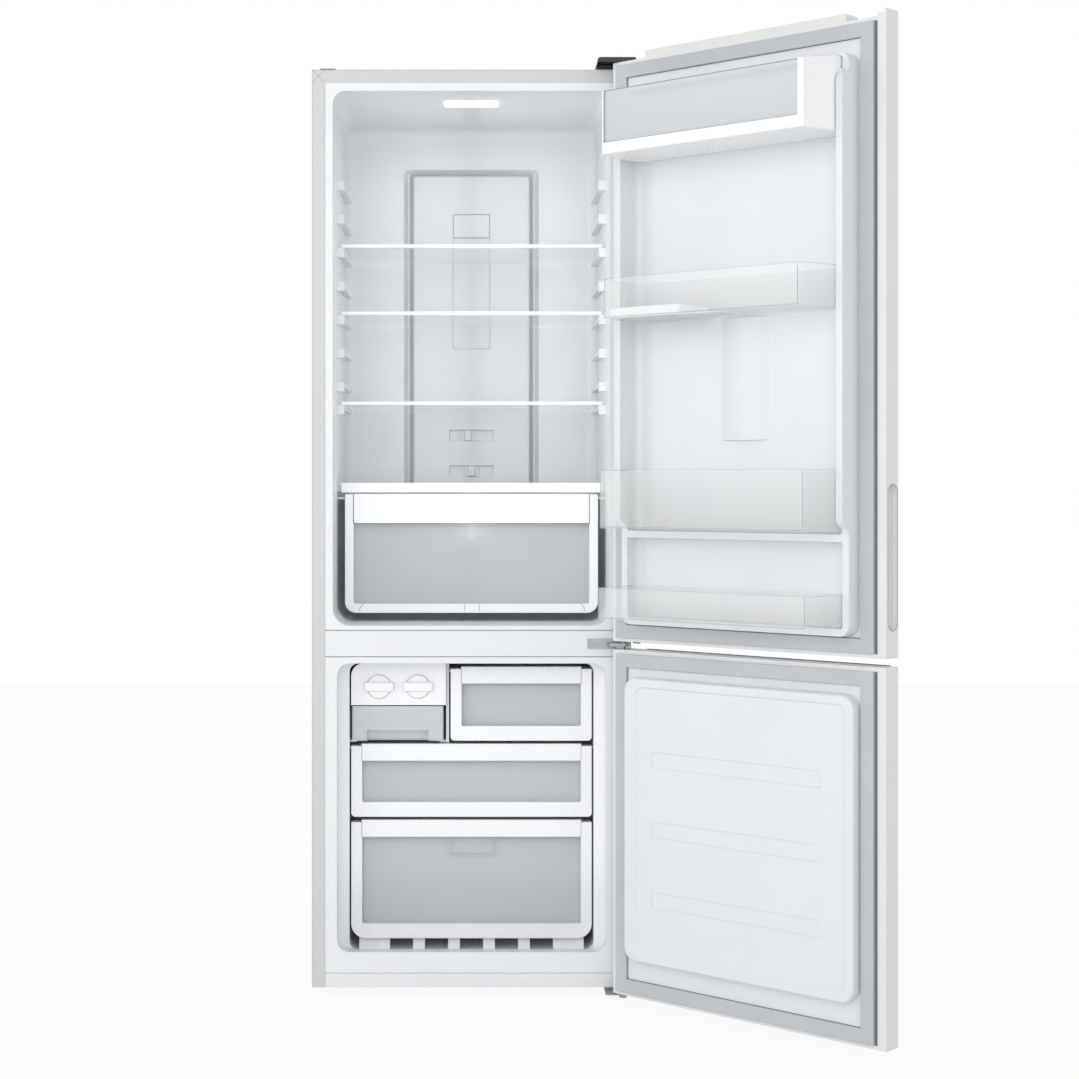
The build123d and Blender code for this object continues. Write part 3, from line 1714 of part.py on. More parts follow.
with BuildPart() as lower_door_trim:
    add(lower_caps)
    add(lower_profile)
    groove_front = door_outer + pull_groove_inset
    box_between(
        pull_groove,
        (groove_front, groove_front + pull_groove_width),
        (lower_high - pull_groove_depth, lower_high),
        mode=Mode.SUBTRACT,
    )
    box_between(
        (-door_half, profile_edge),
        (door_outer, door_outer + pull_step),
        (lower_high - pull_step_height, lower_high),
        mode=Mode.SUBTRACT,
    )

# ============================================================ the doors swung open
upper_door = {
    "upper_door_skin": upper_door_skin,
    "upper_door_liner": upper_door_liner,
    "upper_door_gasket": upper_door_gasket,
    "upper_door_caps": upper_door_caps,
    "upper_door_grip": upper_door_grip,
    "upper_door_insulation": upper_door_foam,
    "dairy_bin": dairy_bin,
    "dairy_window": dairy_window,
    "upper_bin": upper_bin,
    "egg_tray": egg_tray,
    "middle_bin": middle_bin,
    "bottom_bin": bottom_bin,
}
lower_door = {
    "lower_door_skin": lower_door_skin,
    "lower_door_liner": lower_door_liner,
    "lower_door_gasket": lower_door_gasket,
    "lower_door_trim": lower_door_trim,
    "lower_door_insulation": lower_door_foam,
}
doors = {**upper_door, **lower_door}
for piece in doors.values():
    piece.part = piece.part.rotate(hinge_line, door_open_angle)

cabinet = {
    "cabinet_shell": cabinet_shell,
    "rear_panel": rear_panel,
    "base_plate": base_plate,
    "bottom_strip": bottom_strip,
    "cabinet_insulation": cabinet_insulation,
    "fridge_liner": fridge_liner,
    "freezer_liner": freezer_liner,
    "middle_rail": middle_rail,
    "light_lens": light_lens,
    "air_duct_panel": air_duct_panel,
    "filter_cover": filter_cover,
    "upper_vent_slider": upper_vent_slider,
    "lower_vent_slider": lower_vent_slider,
    "glass_shelves": glass_shelves,
    "shelf_trims": shelf_trims,
    "crisper_tub": crisper_tub,
    "crisper_front": crisper_front,
    "small_drawer_tub": small_tub,
    "small_drawer_front": small_drawer_front,
    "middle_drawer_tub": middle_tub,
    "middle_drawer_front": middle_drawer_front,
    "bottom_drawer_tub": bottom_tub,
    "bottom_drawer_front": bottom_drawer_front,
    "ice_maker_housing": ice_maker_housing,
    "left_ice_tray": left_ice_tray,
    "right_ice_tray": right_ice_tray,
    "ice_bucket": ice_bucket,
    "freezer_divider": freezer_divider,
    "freezer_air_panel": freezer_air_panel,
    "evaporator": evaporator,
    "evaporator_fan": evaporator_fan,
    "fan_motor": fan_motor,
    "compressor": compressor,
    "drip_tray": drip_tray,
    "rear_grille": rear_grille,
    "power_inlet": power_inlet,
    "top_hinge": top_hinge,
    "top_covers": top_covers,
    "middle_hinge": middle_hinge,
    "bottom_hinge": bottom_hinge,
    "levelling_feet": levelling_feet,
    "rear_rollers": rear_rollers,
    "cabinet_screws": cabinet_screws,
}

os.makedirs("parts", exist_ok=True)
for name, piece in {**cabinet, **doors}.items():
    piece.part.label = name
    export_step(piece.part, f"parts/{name}.step")
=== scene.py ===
import json
from math import cos, pi, radians, sin

import bmesh
import bpy
from mathutils import Matrix, Vector


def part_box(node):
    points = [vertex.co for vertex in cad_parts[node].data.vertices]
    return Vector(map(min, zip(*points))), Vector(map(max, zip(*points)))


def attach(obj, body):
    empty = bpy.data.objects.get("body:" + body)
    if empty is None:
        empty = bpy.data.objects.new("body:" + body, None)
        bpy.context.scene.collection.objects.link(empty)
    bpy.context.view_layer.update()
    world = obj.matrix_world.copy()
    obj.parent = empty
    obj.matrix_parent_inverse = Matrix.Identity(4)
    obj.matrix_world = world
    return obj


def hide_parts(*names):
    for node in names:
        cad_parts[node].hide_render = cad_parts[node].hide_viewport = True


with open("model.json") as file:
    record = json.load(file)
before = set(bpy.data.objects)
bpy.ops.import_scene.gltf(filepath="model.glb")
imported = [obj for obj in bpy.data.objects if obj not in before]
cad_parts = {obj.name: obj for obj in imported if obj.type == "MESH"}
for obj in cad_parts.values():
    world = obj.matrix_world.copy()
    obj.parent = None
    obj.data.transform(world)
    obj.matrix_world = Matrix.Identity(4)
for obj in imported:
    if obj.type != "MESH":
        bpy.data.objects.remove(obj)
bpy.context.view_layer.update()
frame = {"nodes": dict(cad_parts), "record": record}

# Sizes are in metres and powers in watts. The doors' pieces are drawn on the closed doors, and
# new_piece turns them to where the doors stand at rest.

# ============================================================ camera and light
PHOTO_SIDE = 1079
FOCAL_PIXELS = 2071.2
VANISHING_POINT = (471.5, 483.8)
CAMERA_DISTANCE = 3.8955
CAMERA_HEIGHT = 0.963
SENSOR = 36

WORLD_COLOUR = (0.97, 0.985, 1.0, 1)
WORLD_STRENGTH = 0.76
FLOOR_COLOUR = (0.9, 0.9, 0.9, 1)
FLOOR_ROUGHNESS = 0.8
FLOOR_REACH = 6.0
# how much of the floor's white doesn't take a shadow
FLOOR_GLOW = 0.9
# each lamp's name, place, target, width, height and power
LAMPS = (
    ("front_box", (-0.6, -4.6, 1.8), (0, 0, 0.9), 3.0, 3.0, 54),
    ("side_box", (-3.2, -1.6, 1.6), (0.3, 0, 0.9), 2.0, 2.4, 18),
    ("fridge_fill", (0, 0.03, 1.2), (0, 1, 1.2), 0.48, 0.92, 0.22),
    ("left_wall_fill", (0, 0.2, 1.25), (-1, 0.2, 1.25), 0.3, 0.8, 0.4),
    ("right_wall_fill", (0, 0.2, 1.25), (1, 0.2, 1.25), 0.3, 0.8, 0.4),
    ("freezer_fill", (0, 0.004, 0.4), (0, 1, 0.4), 0.46, 0.4, 0.11),
)

# ============================================================ surfaces
# the part of a noise's range that most of it falls in
NOISE_LOW = 0.3
NOISE_HIGH = 0.7
# how far a grain changes the roughness, as a share of it
GRAIN_SHARE = 0.1

# ============================================================ thin lines
# how far a line reaches into the face and above it, and the share of its width that is level
LINE_ROOT = 0.0002
LINE_RISE = 0.0003
LINE_LEVEL = 0.8
DRAWER_LINE = 0.0008
LEDGE_LINE = 0.0009
RIM_LINE = 0.001
BIN_LINE = 0.0012
BAND_LINE = 0.0013
SEAL_LINE = 0.0014
BIN_RIM_LINE = 0.0018
# the least cosine that a corner's mitre is worked out with, which keeps a sharp corner short
MITRE_LIMIT = 0.3
TOWARDS_FRONT = (0, -1, 0)
TOWARDS_BACK = (0, 1, 0)
TOWARDS_FREE_EDGE = (-1, 0, 0)
UP = (0, 0, 1)

# ============================================================ cabinet
# a piece's distance from the face that it lies on
GAP = 0.0003
FRONT_RIM = 0.0245
RIM_INSET = 0.0007
RIM_FOOT = 0.001
RAIL_INSET = 0.0008
# the width of the strip of painted shade in the recess round the duct
RECESS_STRIP = 0.008
COVER_GAP = 0.0007
COVER_RADIUS = 0.004
# the channel's foot, as a share of the duct's height, and the radius of its corners
CHANNEL_SHARE = 0.454
CHANNEL_RADIUS = 0.005
CORNER_STEPS = 6
PLATFORM_X = (0.178, 0.2145)
PLATFORM_FRONT = 0.064
PLATFORM_SLOPE = 0.012
PLATFORM_BACK = 0.33
PLATFORM_HEIGHT = 0.0242
PLATFORM_EASE = 0.0012

# ============================================================ crisper and freezer drawers
TOP_CLEARANCE = 0.001
CRISPER_SIDE = 0.017
CRISPER_BAND = 0.059
# the ledge under the crisper's window: its height, and the joints across it
CRISPER_LEDGE = 0.018
LEDGE_FOOT = 0.004
LEDGE_JOINTS = (-0.0132, 0.0149)
# where the bowed joints at its ends start and stop, measured from the window's sides
LEFT_BOW = (0.0195, 0.0108)
RIGHT_BOW = (0.0165, 0.009)
BOW_SAG = 0.0012
BOW_STEPS = 8
DRAWER_SIDE = 0.021
DRAWER_BAND = 0.032
# the rounded tab in the bottom drawer's window
TAB_WIDTH = 0.088
TAB_WALL = 0.003
TAB_DROP = 0.038
TAB_RADIUS = 0.008
TAB_LINE_INSET = 0.0004
TAB_END = 0.0005
TAB_OVERLAP = 0.02

# ============================================================ doors
# between a closed door's inner face and the cabinet
DOOR_STAND_OFF = 0.007
GASKET_BAND = 0.025
GASKET_EDGE = 0.281
GASKET_FREE_EDGE = 0.2755
# above the door's lower edge
GASKET_FOOT = 0.007
SEAL_ROOT = 0.0005
SEAL_LIP = 0.0016
SEAL_DIP = 0.0003
LIP_STEPS = 4
# the dark strip of painted shade in the channel beside the seal's free side: its outer edge and its
# thickness
CHANNEL_EDGE = 0.2803
CHANNEL_DEPTH = 0.0006

# half widths of the bins' front faces, and the plan that the bins share
BIN_FRONT_HALVES = {"upper_bin": 0.21, "middle_bin": 0.22, "bottom_bin": 0.224}
BIN_BACK_HALF = 0.2295
BIN_BACK = 0.01
BIN_BEND = 0.044
BIN_FRONT = 0.12
# the front corners' ease, as a share of the side and as a length of the front
BIN_SIDE_EASE = 0.05
BIN_FRONT_EASE = 0.004
BIN_RIM_INSET = 0.0011
BIN_FOOT = 0.0032
BIN_POST_INSET = 0.0036
BIN_POST_TOP = 0.0004

# the dairy bin's window
WINDOW_FACE = 0.1147
WINDOW_X = (-0.2042, 0.2114)
WINDOW_HEIGHTS = (1.5757, 1.6682)

# the recessed grip in the upper door's free edge
GRIP_LOW = 0.0455
GRIP_LENGTH = 0.247
GRIP_WIDTH = 0.03
GRIP_MIDDLE = -0.027
GRIP_EDGE = 0.2975
GRIP_STEPS = 12

# the ribbed collars on the middle hinge: heights above the lower door, shifts from its axis
COLLAR_SHIFTS = (-0.0045, 0.0102)
COLLAR_FOOT = 0.0006
COLLAR_TOP = 0.0064
COLLAR_RADIUS = 0.0052
COLLAR_RIBS = 14
COLLAR_VALLEY = 0.84

# the stop under the upper door, and the shadow line on the lower door's top edge
STOP_X = (0.256, 0.27)
STOP_Y = (-0.046, -0.038)
STOP_DROP = 0.0052
STOP_ROOT = 0.0005
STOP_EASE = 0.0012
TOP_EDGE_X = (-0.28, 0.243)
TOP_EDGE_Y = (-0.0489, -0.0474)
TOP_EDGE_ROOT = 0.0005
TOP_EDGE_RISE = 0.0013
TOP_EDGE_EASE = 0.0003

joints = {joint["name"]: joint for joint in frame["record"]["behaviour"]["joints"]}
hinge = joints["upper_door_hinge"]
HINGE_LINE = Vector((hinge["pos_m"][0], hinge["pos_m"][1], 0))
DOOR_ANGLE = -radians(hinge["range_deg"][0])


# ============================================================ materials
def link(tree, start, end):
    """Joins a node's output to another node's input: each is a pair of node and socket name."""
    tree.links.new(start[0].outputs[start[1]], end[0].inputs[end[1]])


def add_node(tree, kind, **values):
    """A shader node with its input sockets set by name, their spaces written as underscores."""
    node = tree.nodes.new(kind)
    for name, value in values.items():
        node.inputs[name.replace("_", " ")].default_value = value
    return node


def noise(tree, scale, stretch=(1, 1, 1), detail=3.0):
    """Noise in the object's own coordinates, so its size is in metres."""
    place = add_node(tree, "ShaderNodeTexCoord")
    mapping = add_node(tree, "ShaderNodeMapping", Scale=stretch)
    texture = add_node(tree, "ShaderNodeTexNoise", Scale=scale, Detail=detail)
    link(tree, (place, "Object"), (mapping, "Vector"))
    link(tree, (mapping, "Vector"), (texture, "Vector"))
    return texture


def between(tree, source, low, high):
    """Spreads a texture's middle range over low to high."""
    spread = add_node(
        tree,
        "ShaderNodeMapRange",
        From_Min=NOISE_LOW,
        From_Max=NOISE_HIGH,
        To_Min=low,
        To_Max=high,
    )
    link(tree, source, (spread, "Value"))
    return spread, "Result"


def finish_of(
    name,
    colour,
    roughness,
    mottle=0.02,
    mottle_scale=6,
    grain=900,
    grain_stretch=(1, 1, 1),
    grain_depth=0.00001,
    edge=0.0008,
    **sockets,
):
    """A material with soft colour changes, a grain in its surface and eased edges."""
    mat = bpy.data.materials.new(name)
    mat.use_nodes = True
    tree = mat.node_tree
    shader = tree.nodes["Principled BSDF"]
    for socket, value in sockets.items():
        shader.inputs[socket.replace("_", " ")].default_value = value
    patches = noise(tree, mottle_scale, detail=2)
    tint = add_node(tree, "ShaderNodeMix")
    tint.data_type = "RGBA"
    shades = [tuple(min(1, c * (1 + s * mottle)) for c in colour) + (1,) for s in (-1, 1)]
    # a colour mix has its colours at inputs 6 and 7 and its result at output 2
    tint.inputs[6].default_value = shades[0]
    tint.inputs[7].default_value = shades[1]
    link(tree, between(tree, (patches, "Fac"), 0, 1), (tint, "Factor"))
    link(tree, (tint, 2), (shader, "Base Color"))
    grains = noise(tree, grain, grain_stretch)
    spread = (roughness * (1 - GRAIN_SHARE), roughness * (1 + GRAIN_SHARE))
    link(tree, between(tree, (grains, "Fac"), *spread), (shader, "Roughness"))
    bump = add_node(tree, "ShaderNodeBump", Strength=1.0, Distance=grain_depth)
    link(tree, (grains, "Fac"), (bump, "Height"))
    if edge:
        eased = add_node(tree, "ShaderNodeBevel", Radius=edge)
        eased.samples = 4
        link(tree, (eased, "Normal"), (bump, "Normal"))
    link(tree, (bump, "Normal"), (shader, "Normal"))
    return mat


def white_plastic(name, colour, roughness=0.32):
    """Smooth moulded plastic with the faint unevenness of a vacuum-formed or moulded face."""
    return finish_of(
        name,
        colour,
        roughness,
        mottle=0.012,
        mottle_scale=9,
        grain=500,
        grain_depth=0.000006,
        edge=0.0012,
    )


def painted_steel(name, colour):
    """Paint with orange peel."""
    return finish_of(
        name,
        colour,
        0.38,
        mottle=0.012,
        mottle_scale=5,
        grain=260,
        grain_depth=0.000012,
        edge=0.0006,
    )


def brushed_steel(name, colour):
    """Plated steel, brushed from side to side."""
    return finish_of(
        name,
        colour,
        0.34,
        mottle=0.06,
        mottle_scale=40,
        grain=60,
        grain_stretch=(1, 1, 60),
        grain_depth=0.00003,
        edge=0.0005,
        Metallic=1.0,
    )


def clear_plastic(name, colour, roughness, clearness, cover):
    """Moulded plastic that light passes, from clear to frosted: cover is how much of it shows."""
    return finish_of(
        name,
        colour,
        roughness,
        mottle=0.01,
        grain=240,
        grain_depth=0.000004,
        edge=0,
        IOR=1.3,
        Transmission_Weight=clearness,
        Alpha=cover,
    )


def glowing_plastic(name, colour, strength):
    """A milky lens that is lit from behind."""
    mat = finish_of(name, colour, 0.3, mottle=0.01, grain=300, edge=0.001)
    shader = mat.node_tree.nodes["Principled BSDF"]
    shader.inputs["Emission Color"].default_value = colour + (1,)
    shader.inputs["Emission Strength"].default_value = strength
    return mat


def dress(mat, *names):
    """Gives the CAD nodes a material."""
    for name in names:
        for place in frame["nodes"][name].material_slots:
            place.material = mat


def dress_cabinet():
    """The outer shell, the rail between the compartments and what is behind and below."""
    dress(painted_steel("cabinet_paint", (0.62, 0.62, 0.62)), "cabinet_shell")
    dress(painted_steel("rail_paint", (0.8, 0.81, 0.82)), "middle_rail", "bottom_strip")
    zinc = finish_of(
        "zinc_sheet",
        (0.5, 0.51, 0.52),
        0.45,
        mottle=0.12,
        mottle_scale=60,
        grain=120,
        Metallic=1.0,
    )
    dress(zinc, "rear_panel", "base_plate")
    foam = finish_of(
        "foam", (0.83, 0.72, 0.42), 0.9, mottle=0.1, grain=400, grain_depth=0.0002, edge=0
    )
    dress(foam, "cabinet_insulation", "upper_door_insulation", "lower_door_insulation")
    dark = finish_of(
        "dark_plastic", (0.035, 0.036, 0.038), 0.5, mottle=0.1, grain=700, grain_depth=0.00002
    )
    dress(dark, "rear_grille", "drip_tray", "evaporator_fan", "levelling_feet", "rear_rollers")
    black = finish_of(
        "black_paint", (0.012, 0.012, 0.013), 0.35, mottle=0.2, grain=200, grain_depth=0.00003
    )
    dress(black, "compressor", "fan_motor")
    bare = finish_of(
        "bare_aluminium", (0.72, 0.73, 0.74), 0.35, mottle=0.05, grain=300, Metallic=1.0, edge=0
    )
    dress(bare, "evaporator")


def dress_hinges():
    """The hinge plates and screws, and the black covers on top."""
    steel = brushed_steel("hinge_steel", (0.3, 0.32, 0.34))
    dress(steel, "top_hinge", "middle_hinge", "bottom_hinge", "cabinet_screws")
    black = finish_of(
        "cover_black", (0.012, 0.012, 0.014), 0.42, mottle=0.1, grain=900, grain_depth=0.00002
    )
    dress(black, "top_covers", "power_inlet")


def dress_compartments():
    """The liners, the duct on the back wall, shelves and drawers."""
    dress(white_plastic("liner_white", (0.82, 0.83, 0.84)), "fridge_liner", "freezer_liner")
    dress(
        white_plastic("duct_white", (0.73, 0.74, 0.755)),
        "air_duct_panel",
        "filter_cover",
        "upper_vent_slider",
        "lower_vent_slider",
    )
    fitting = white_plastic("fitting_white", (0.9, 0.9, 0.91), roughness=0.28)
    dress(fitting, "shelf_trims", "crisper_front")
    dress(
        white_plastic("drawer_white", (0.79, 0.795, 0.805), roughness=0.28),
        "small_drawer_front",
        "middle_drawer_front",
        "bottom_drawer_front",
        "ice_maker_housing",
        "left_ice_tray",
        "right_ice_tray",
        "freezer_divider",
        "freezer_air_panel",
    )
    dress(glowing_plastic("lens_glow", (1.0, 1.0, 0.99), strength=0.7), "light_lens")
    glass = clear_plastic(
        "shelf_glass", (0.9, 0.94, 0.94), roughness=0.04, clearness=0.6, cover=0.25
    )
    dress(glass, "glass_shelves")
    tub = clear_plastic(
        "tub_plastic", (0.69, 0.725, 0.75), roughness=0.35, clearness=0.1, cover=0.6
    )
    dress(tub, "crisper_tub", "small_drawer_tub", "middle_drawer_tub", "bottom_drawer_tub")
    bucket = clear_plastic(
        "bucket_plastic", (0.84, 0.88, 0.91), roughness=0.15, clearness=0.1, cover=0.5
    )
    dress(bucket, "ice_bucket")


def dress_doors():
    """The door skins, liners and edges, and the bins that hang on the upper door."""
    dress(painted_steel("door_paint", (0.6, 0.6, 0.59)), "upper_door_skin", "lower_door_skin")
    liner = white_plastic("door_liner_white", (0.78, 0.79, 0.8))
    dress(liner, "upper_door_liner", "lower_door_liner")
    edge = white_plastic("edge_plastic", (0.78, 0.77, 0.75), roughness=0.4)
    dress(edge, "upper_door_caps", "upper_door_grip", "lower_door_trim")
    clear = clear_plastic(
        "bin_plastic", (0.98, 0.99, 1.0), roughness=0.08, clearness=0.1, cover=0.2
    )
    dress(clear, "upper_bin", "middle_bin", "bottom_bin")
    white = white_plastic("bin_white", (0.92, 0.925, 0.93), roughness=0.28)
    dress(white, "dairy_bin", "egg_tray")
    window = clear_plastic(
        "window_plastic", (0.76, 0.79, 0.81), roughness=0.3, clearness=0.1, cover=0.6
    )
    dress(window, "dairy_window")


# ============================================================ tools for pieces made here
def new_piece(name, mesh, body, slot, mat, *stands_for):
    """Puts a mesh into the scene as a piece that rides on a body."""
    if body in ("upper_door", "lower_door"):
        swing_open(mesh)
    piece = bpy.data.objects.new(name, mesh)
    bpy.context.scene.collection.objects.link(piece)
    mesh.materials.append(mat)
    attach(piece, body)
    if stands_for:
        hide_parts(*stands_for)


def swing_open(mesh):
    """Turns a door's mesh from closed, as it is drawn, to its rest place."""
    there = Matrix.Translation(HINGE_LINE)
    mesh.transform(there @ Matrix.Rotation(DOOR_ANGLE, 4, "Z") @ there.inverted())


def mesh_of(name, shape):
    """Ends a bmesh as a mesh whose faces look out."""
    bmesh.ops.recalc_face_normals(shape, faces=shape.faces)
    mesh = bpy.data.meshes.new(name)
    shape.to_mesh(mesh)
    shape.free()
    return mesh


def ease_edges(shape, ease):
    """Rounds all edges of a block."""
    bmesh.ops.bevel(
        shape, geom=shape.edges, offset=ease, segments=2, profile=0.5, affect="EDGES"
    )


def join_rings(shape, rings, capped):
    """Makes the faces between each ring of vertices and the next, and those at the ends."""
    for near, far in zip(rings, rings[1:]):
        count = len(near)
        for k in range(count):
            after = (k + 1) % count
            shape.faces.new((near[k], near[after], far[after], far[k]))
    if capped:
        shape.faces.new(rings[0])
        shape.faces.new(rings[-1])


def swept_ring(name, section, x, z):
    """A section carried round a rectangle with mitred corners, on a closed door's inner face."""
    shape = bmesh.new()
    rings = []
    for inset, height in section:
        left, right = x[0] + inset, x[1] - inset
        low, high = z[0] + inset, z[1] - inset
        corners = [(left, low), (right, low), (right, high), (left, high)]
        y = height - DOOR_STAND_OFF
        rings.append([shape.verts.new((across, y, up)) for across, up in corners])
    join_rings(shape, rings + rings[:1], capped=False)
    return mesh_of(name, shape)


def rounded_block(name, x, y, z, ease):
    """A block between pairs of limits with eased edges."""
    shape = bmesh.new()
    bmesh.ops.create_cube(shape, size=1)
    size = [end - start for start, end in (x, y, z)]
    middle = [(start + end) / 2 for start, end in (x, y, z)]
    for vert in shape.verts:
        vert.co = Vector([vert.co[k] * size[k] + middle[k] for k in range(3)])
    ease_edges(shape, ease)
    return mesh_of(name, shape)


def ribbed_post(name, place, z):
    """An upright collar with ribs round it."""
    plan = []
    for step in range(2 * COLLAR_RIBS):
        turn = pi * step / COLLAR_RIBS
        reach = COLLAR_RADIUS * (1 if step % 2 else COLLAR_VALLEY)
        plan.append((place[0] + reach * cos(turn), place[1] + reach * sin(turn)))
    shape = bmesh.new()
    rings = [[shape.verts.new((x, y, height)) for x, y in plan] for height in z]
    join_rings(shape, rings, capped=True)
    return mesh_of(name, shape)


def merge(name, meshes):
    """One mesh of several."""
    shape = bmesh.new()
    for mesh in meshes:
        shape.from_mesh(mesh)
    whole = bpy.data.meshes.new(name)
    shape.to_mesh(whole)
    shape.free()
    return whole


def raised_lines(name, runs, out, width):
    """Low ridges along runs of points on a face that looks along out.

    A run is its points and whether it closes."""
    out = Vector(out)
    profile = (
        (-1, -LINE_ROOT),
        (-LINE_LEVEL, LINE_RISE),
        (LINE_LEVEL, LINE_RISE),
        (1, -LINE_ROOT),
    )
    shape = bmesh.new()
    for points, closed in runs:
        points = [Vector(point) for point in points]
        rings = []
        for k, point in enumerate(points):
            ways = []
            if closed or k:
                ways.append((point - points[k - 1]).normalized())
            if closed or k < len(points) - 1:
                ways.append((points[(k + 1) % len(points)] - point).normalized())
            sides = [out.cross(way) for way in ways]
            side = (sides[0] + sides[-1]).normalized()
            side *= width / 2 / max(MITRE_LIMIT, side.dot(sides[0]))
            places = [point + reach * side + rise * out for reach, rise in profile]
            rings.append([shape.verts.new(place) for place in places])
        join_rings(shape, rings + rings[:1] if closed else rings, capped=not closed)
    return mesh_of(name, shape)


def bow(start, end, sag):
    """Points of a shallow arc in a face across Y, from start to end, that bulges by sag."""
    start, end = Vector(start), Vector(end)
    across = (end - start).normalized().cross(Vector(TOWARDS_BACK))
    shares = [step / BOW_STEPS for step in range(BOW_STEPS + 1)]
    return [start.lerp(end, share) + across * sag * sin(pi * share) for share in shares]


def rounded_loop(x, z, y, radius):
    """Points round a rectangle with rounded corners in a face across Y.

    They start at the upper left corner and go clockwise, as seen from the front."""
    points = []
    corners = ((x[0], z[1], 180), (x[1], z[1], 90), (x[1], z[0], 0), (x[0], z[0], 270))
    for across, up, start in corners:
        middle_x = across + (radius if across == x[0] else -radius)
        middle_z = up + (radius if up == z[0] else -radius)
        for step in range(CORNER_STEPS + 1):
            turn = radians(start - 90 * step / CORNER_STEPS)
            points.append((middle_x + radius * cos(turn), y, middle_z + radius * sin(turn)))
    return points


# ============================================================ seals
def gasket_section():
    """The seal's section: pairs of inset from its outer edge and height above the door's face."""
    crown = DOOR_STAND_OFF - GAP
    points = [(SEAL_ROOT, 0)]
    turns = [pi / 2 * step / LIP_STEPS for step in range(LIP_STEPS + 1)]
    foot = crown - SEAL_LIP
    for turn in turns:
        points.append((SEAL_LIP - SEAL_LIP * cos(turn), foot + SEAL_LIP * sin(turn)))
    points.append((GASKET_BAND * 0.5, crown - SEAL_DIP))
    for turn in turns:
        points.append((GASKET_BAND - SEAL_LIP + SEAL_LIP * sin(turn), foot + SEAL_LIP * cos(turn)))
    points.append((GASKET_BAND - SEAL_ROOT, 0))
    return points


def make_gaskets():
    """The soft grey seals of both doors, and a dark strip of painted shade in the channel beside
    each seal's free side.
    """
    rubber = finish_of(
        "gasket_rubber",
        (0.52, 0.54, 0.56),
        0.55,
        mottle=0.03,
        grain=600,
        grain_depth=0.00002,
        edge=0,
    )
    shade = finish_of("channel_shade_grey", (0.16, 0.17, 0.18), 0.6, mottle=0.05, grain=400, edge=0)
    for door in ("upper_door", "lower_door"):
        side = door.split("_")[0]
        low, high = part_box(door + "_gasket")
        z = (low[2], high[2])
        seal = swept_ring(side + "_seal", gasket_section(), (-GASKET_FREE_EDGE, GASKET_EDGE), z)
        new_piece(side + "_seal", seal, door, "gasket_grey", rubber, door + "_gasket")
        # painted shade: a thin dark strip where the channel beside the seal's free side lies in
        # shade
        channel = rounded_block(
            side + "_channel_shade",
            (-CHANNEL_EDGE, -GASKET_FREE_EDGE),
            (-DOOR_STAND_OFF, CHANNEL_DEPTH - DOOR_STAND_OFF),
            z,
            CHANNEL_DEPTH / 3,
        )
        new_piece(side + "_channel_shade", channel, door, "gasket_grey", shade)


def make_seal_crease_shade(slate):
    """A dark line of painted shade in the crease along the inner side of each door's seal, where it
    meets the door's face.
    """
    free = GASKET_BAND - GASKET_FREE_EDGE
    hinged = GASKET_EDGE - GASKET_BAND
    y = -DOOR_STAND_OFF
    for side in ("upper", "lower"):
        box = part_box(side + "_door_gasket")
        low, high = box[0][2] + GASKET_BAND, box[1][2] - GASKET_BAND
        corners = [(free, y, low), (hinged, y, low), (hinged, y, high), (free, y, high)]
        # painted shade: a dark line where the seal's lip meets the door's face
        joint = raised_lines(side + "_seal_crease_shade", [(corners, True)], TOWARDS_BACK, SEAL_LINE)
        new_piece(side + "_seal_crease_shade", joint, side + "_door", "gasket_grey", slate)


# ============================================================ joints of cabinet and drawers
def make_rim_lines(pale):
    """The lines along the cabinet's rim and across its upper corners: the outer line is painted
    shade on the rim's outer edge, the inner line and the corner mitres are dark joints.
    """
    low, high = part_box("cabinet_shell")
    y = low[1]
    foot = low[2] + RIM_FOOT
    outer = (high[0] - RIM_INSET, high[2] - RIM_INSET)
    inside = (high[0] - FRONT_RIM, high[2] - FRONT_RIM)
    runs = []
    # the outer run paints the shade on the rim's outer edge; the inner run and the corner runs are
    # the rim's joints
    for x, z in (outer, inside):
        runs.append(([(-x, y, foot), (-x, y, z), (x, y, z), (x, y, foot)], False))
    for side in (-1, 1):
        corner = [(side * x, y, z) for x, z in (outer, inside)]
        runs.append((corner, False))
    joint = raised_lines("rim_joints_and_edge_shade", runs, TOWARDS_FRONT, RIM_LINE)
    new_piece("rim_joints_and_edge_shade", joint, "cabinet", "cabinet_paint", pale)


def make_duct_lines(pale):
    """A strip of painted shade in the recess round the duct, and on the duct the lines round its
    filter cover and the channel below that.
    """
    # painted shade: a grey strip laid where the recess round the duct lies in shade
    shade = finish_of("recess_shade", (0.56, 0.58, 0.6), 0.6, mottle=0.05, grain=400, edge=0)
    low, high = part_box("air_duct_panel")
    y = high[1] + GAP
    reach = RECESS_STRIP / 2
    left, right, top = low[0] - reach, high[0] + reach, high[2] + reach
    around = [(left, y, low[2]), (left, y, top), (right, y, top), (right, y, low[2])]
    seal = raised_lines("duct_recess_shade", [(around, False)], TOWARDS_FRONT, RECESS_STRIP)
    new_piece("duct_recess_shade", seal, "cabinet", "gasket_grey", shade)

    y = low[1]
    foot = low[2] + CHANNEL_SHARE * (high[2] - low[2])
    low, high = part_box("filter_cover")
    x = (low[0] - COVER_GAP, high[0] + COVER_GAP)
    loop = rounded_loop(x, (low[2] - COVER_GAP, high[2] + COVER_GAP), y, COVER_RADIUS)
    below = rounded_loop(x, (foot, low[2]), y, CHANNEL_RADIUS)
    below = below[len(below) // 2 :]
    channel = [(x[1], y, low[2])] + below + [(x[0], y, low[2])]
    runs = [(loop, True), (channel, False)]
    lines = raised_lines("duct_joints", runs, TOWARDS_FRONT, RIM_LINE)
    new_piece("duct_joints", lines, "cabinet", "trim_white", pale)


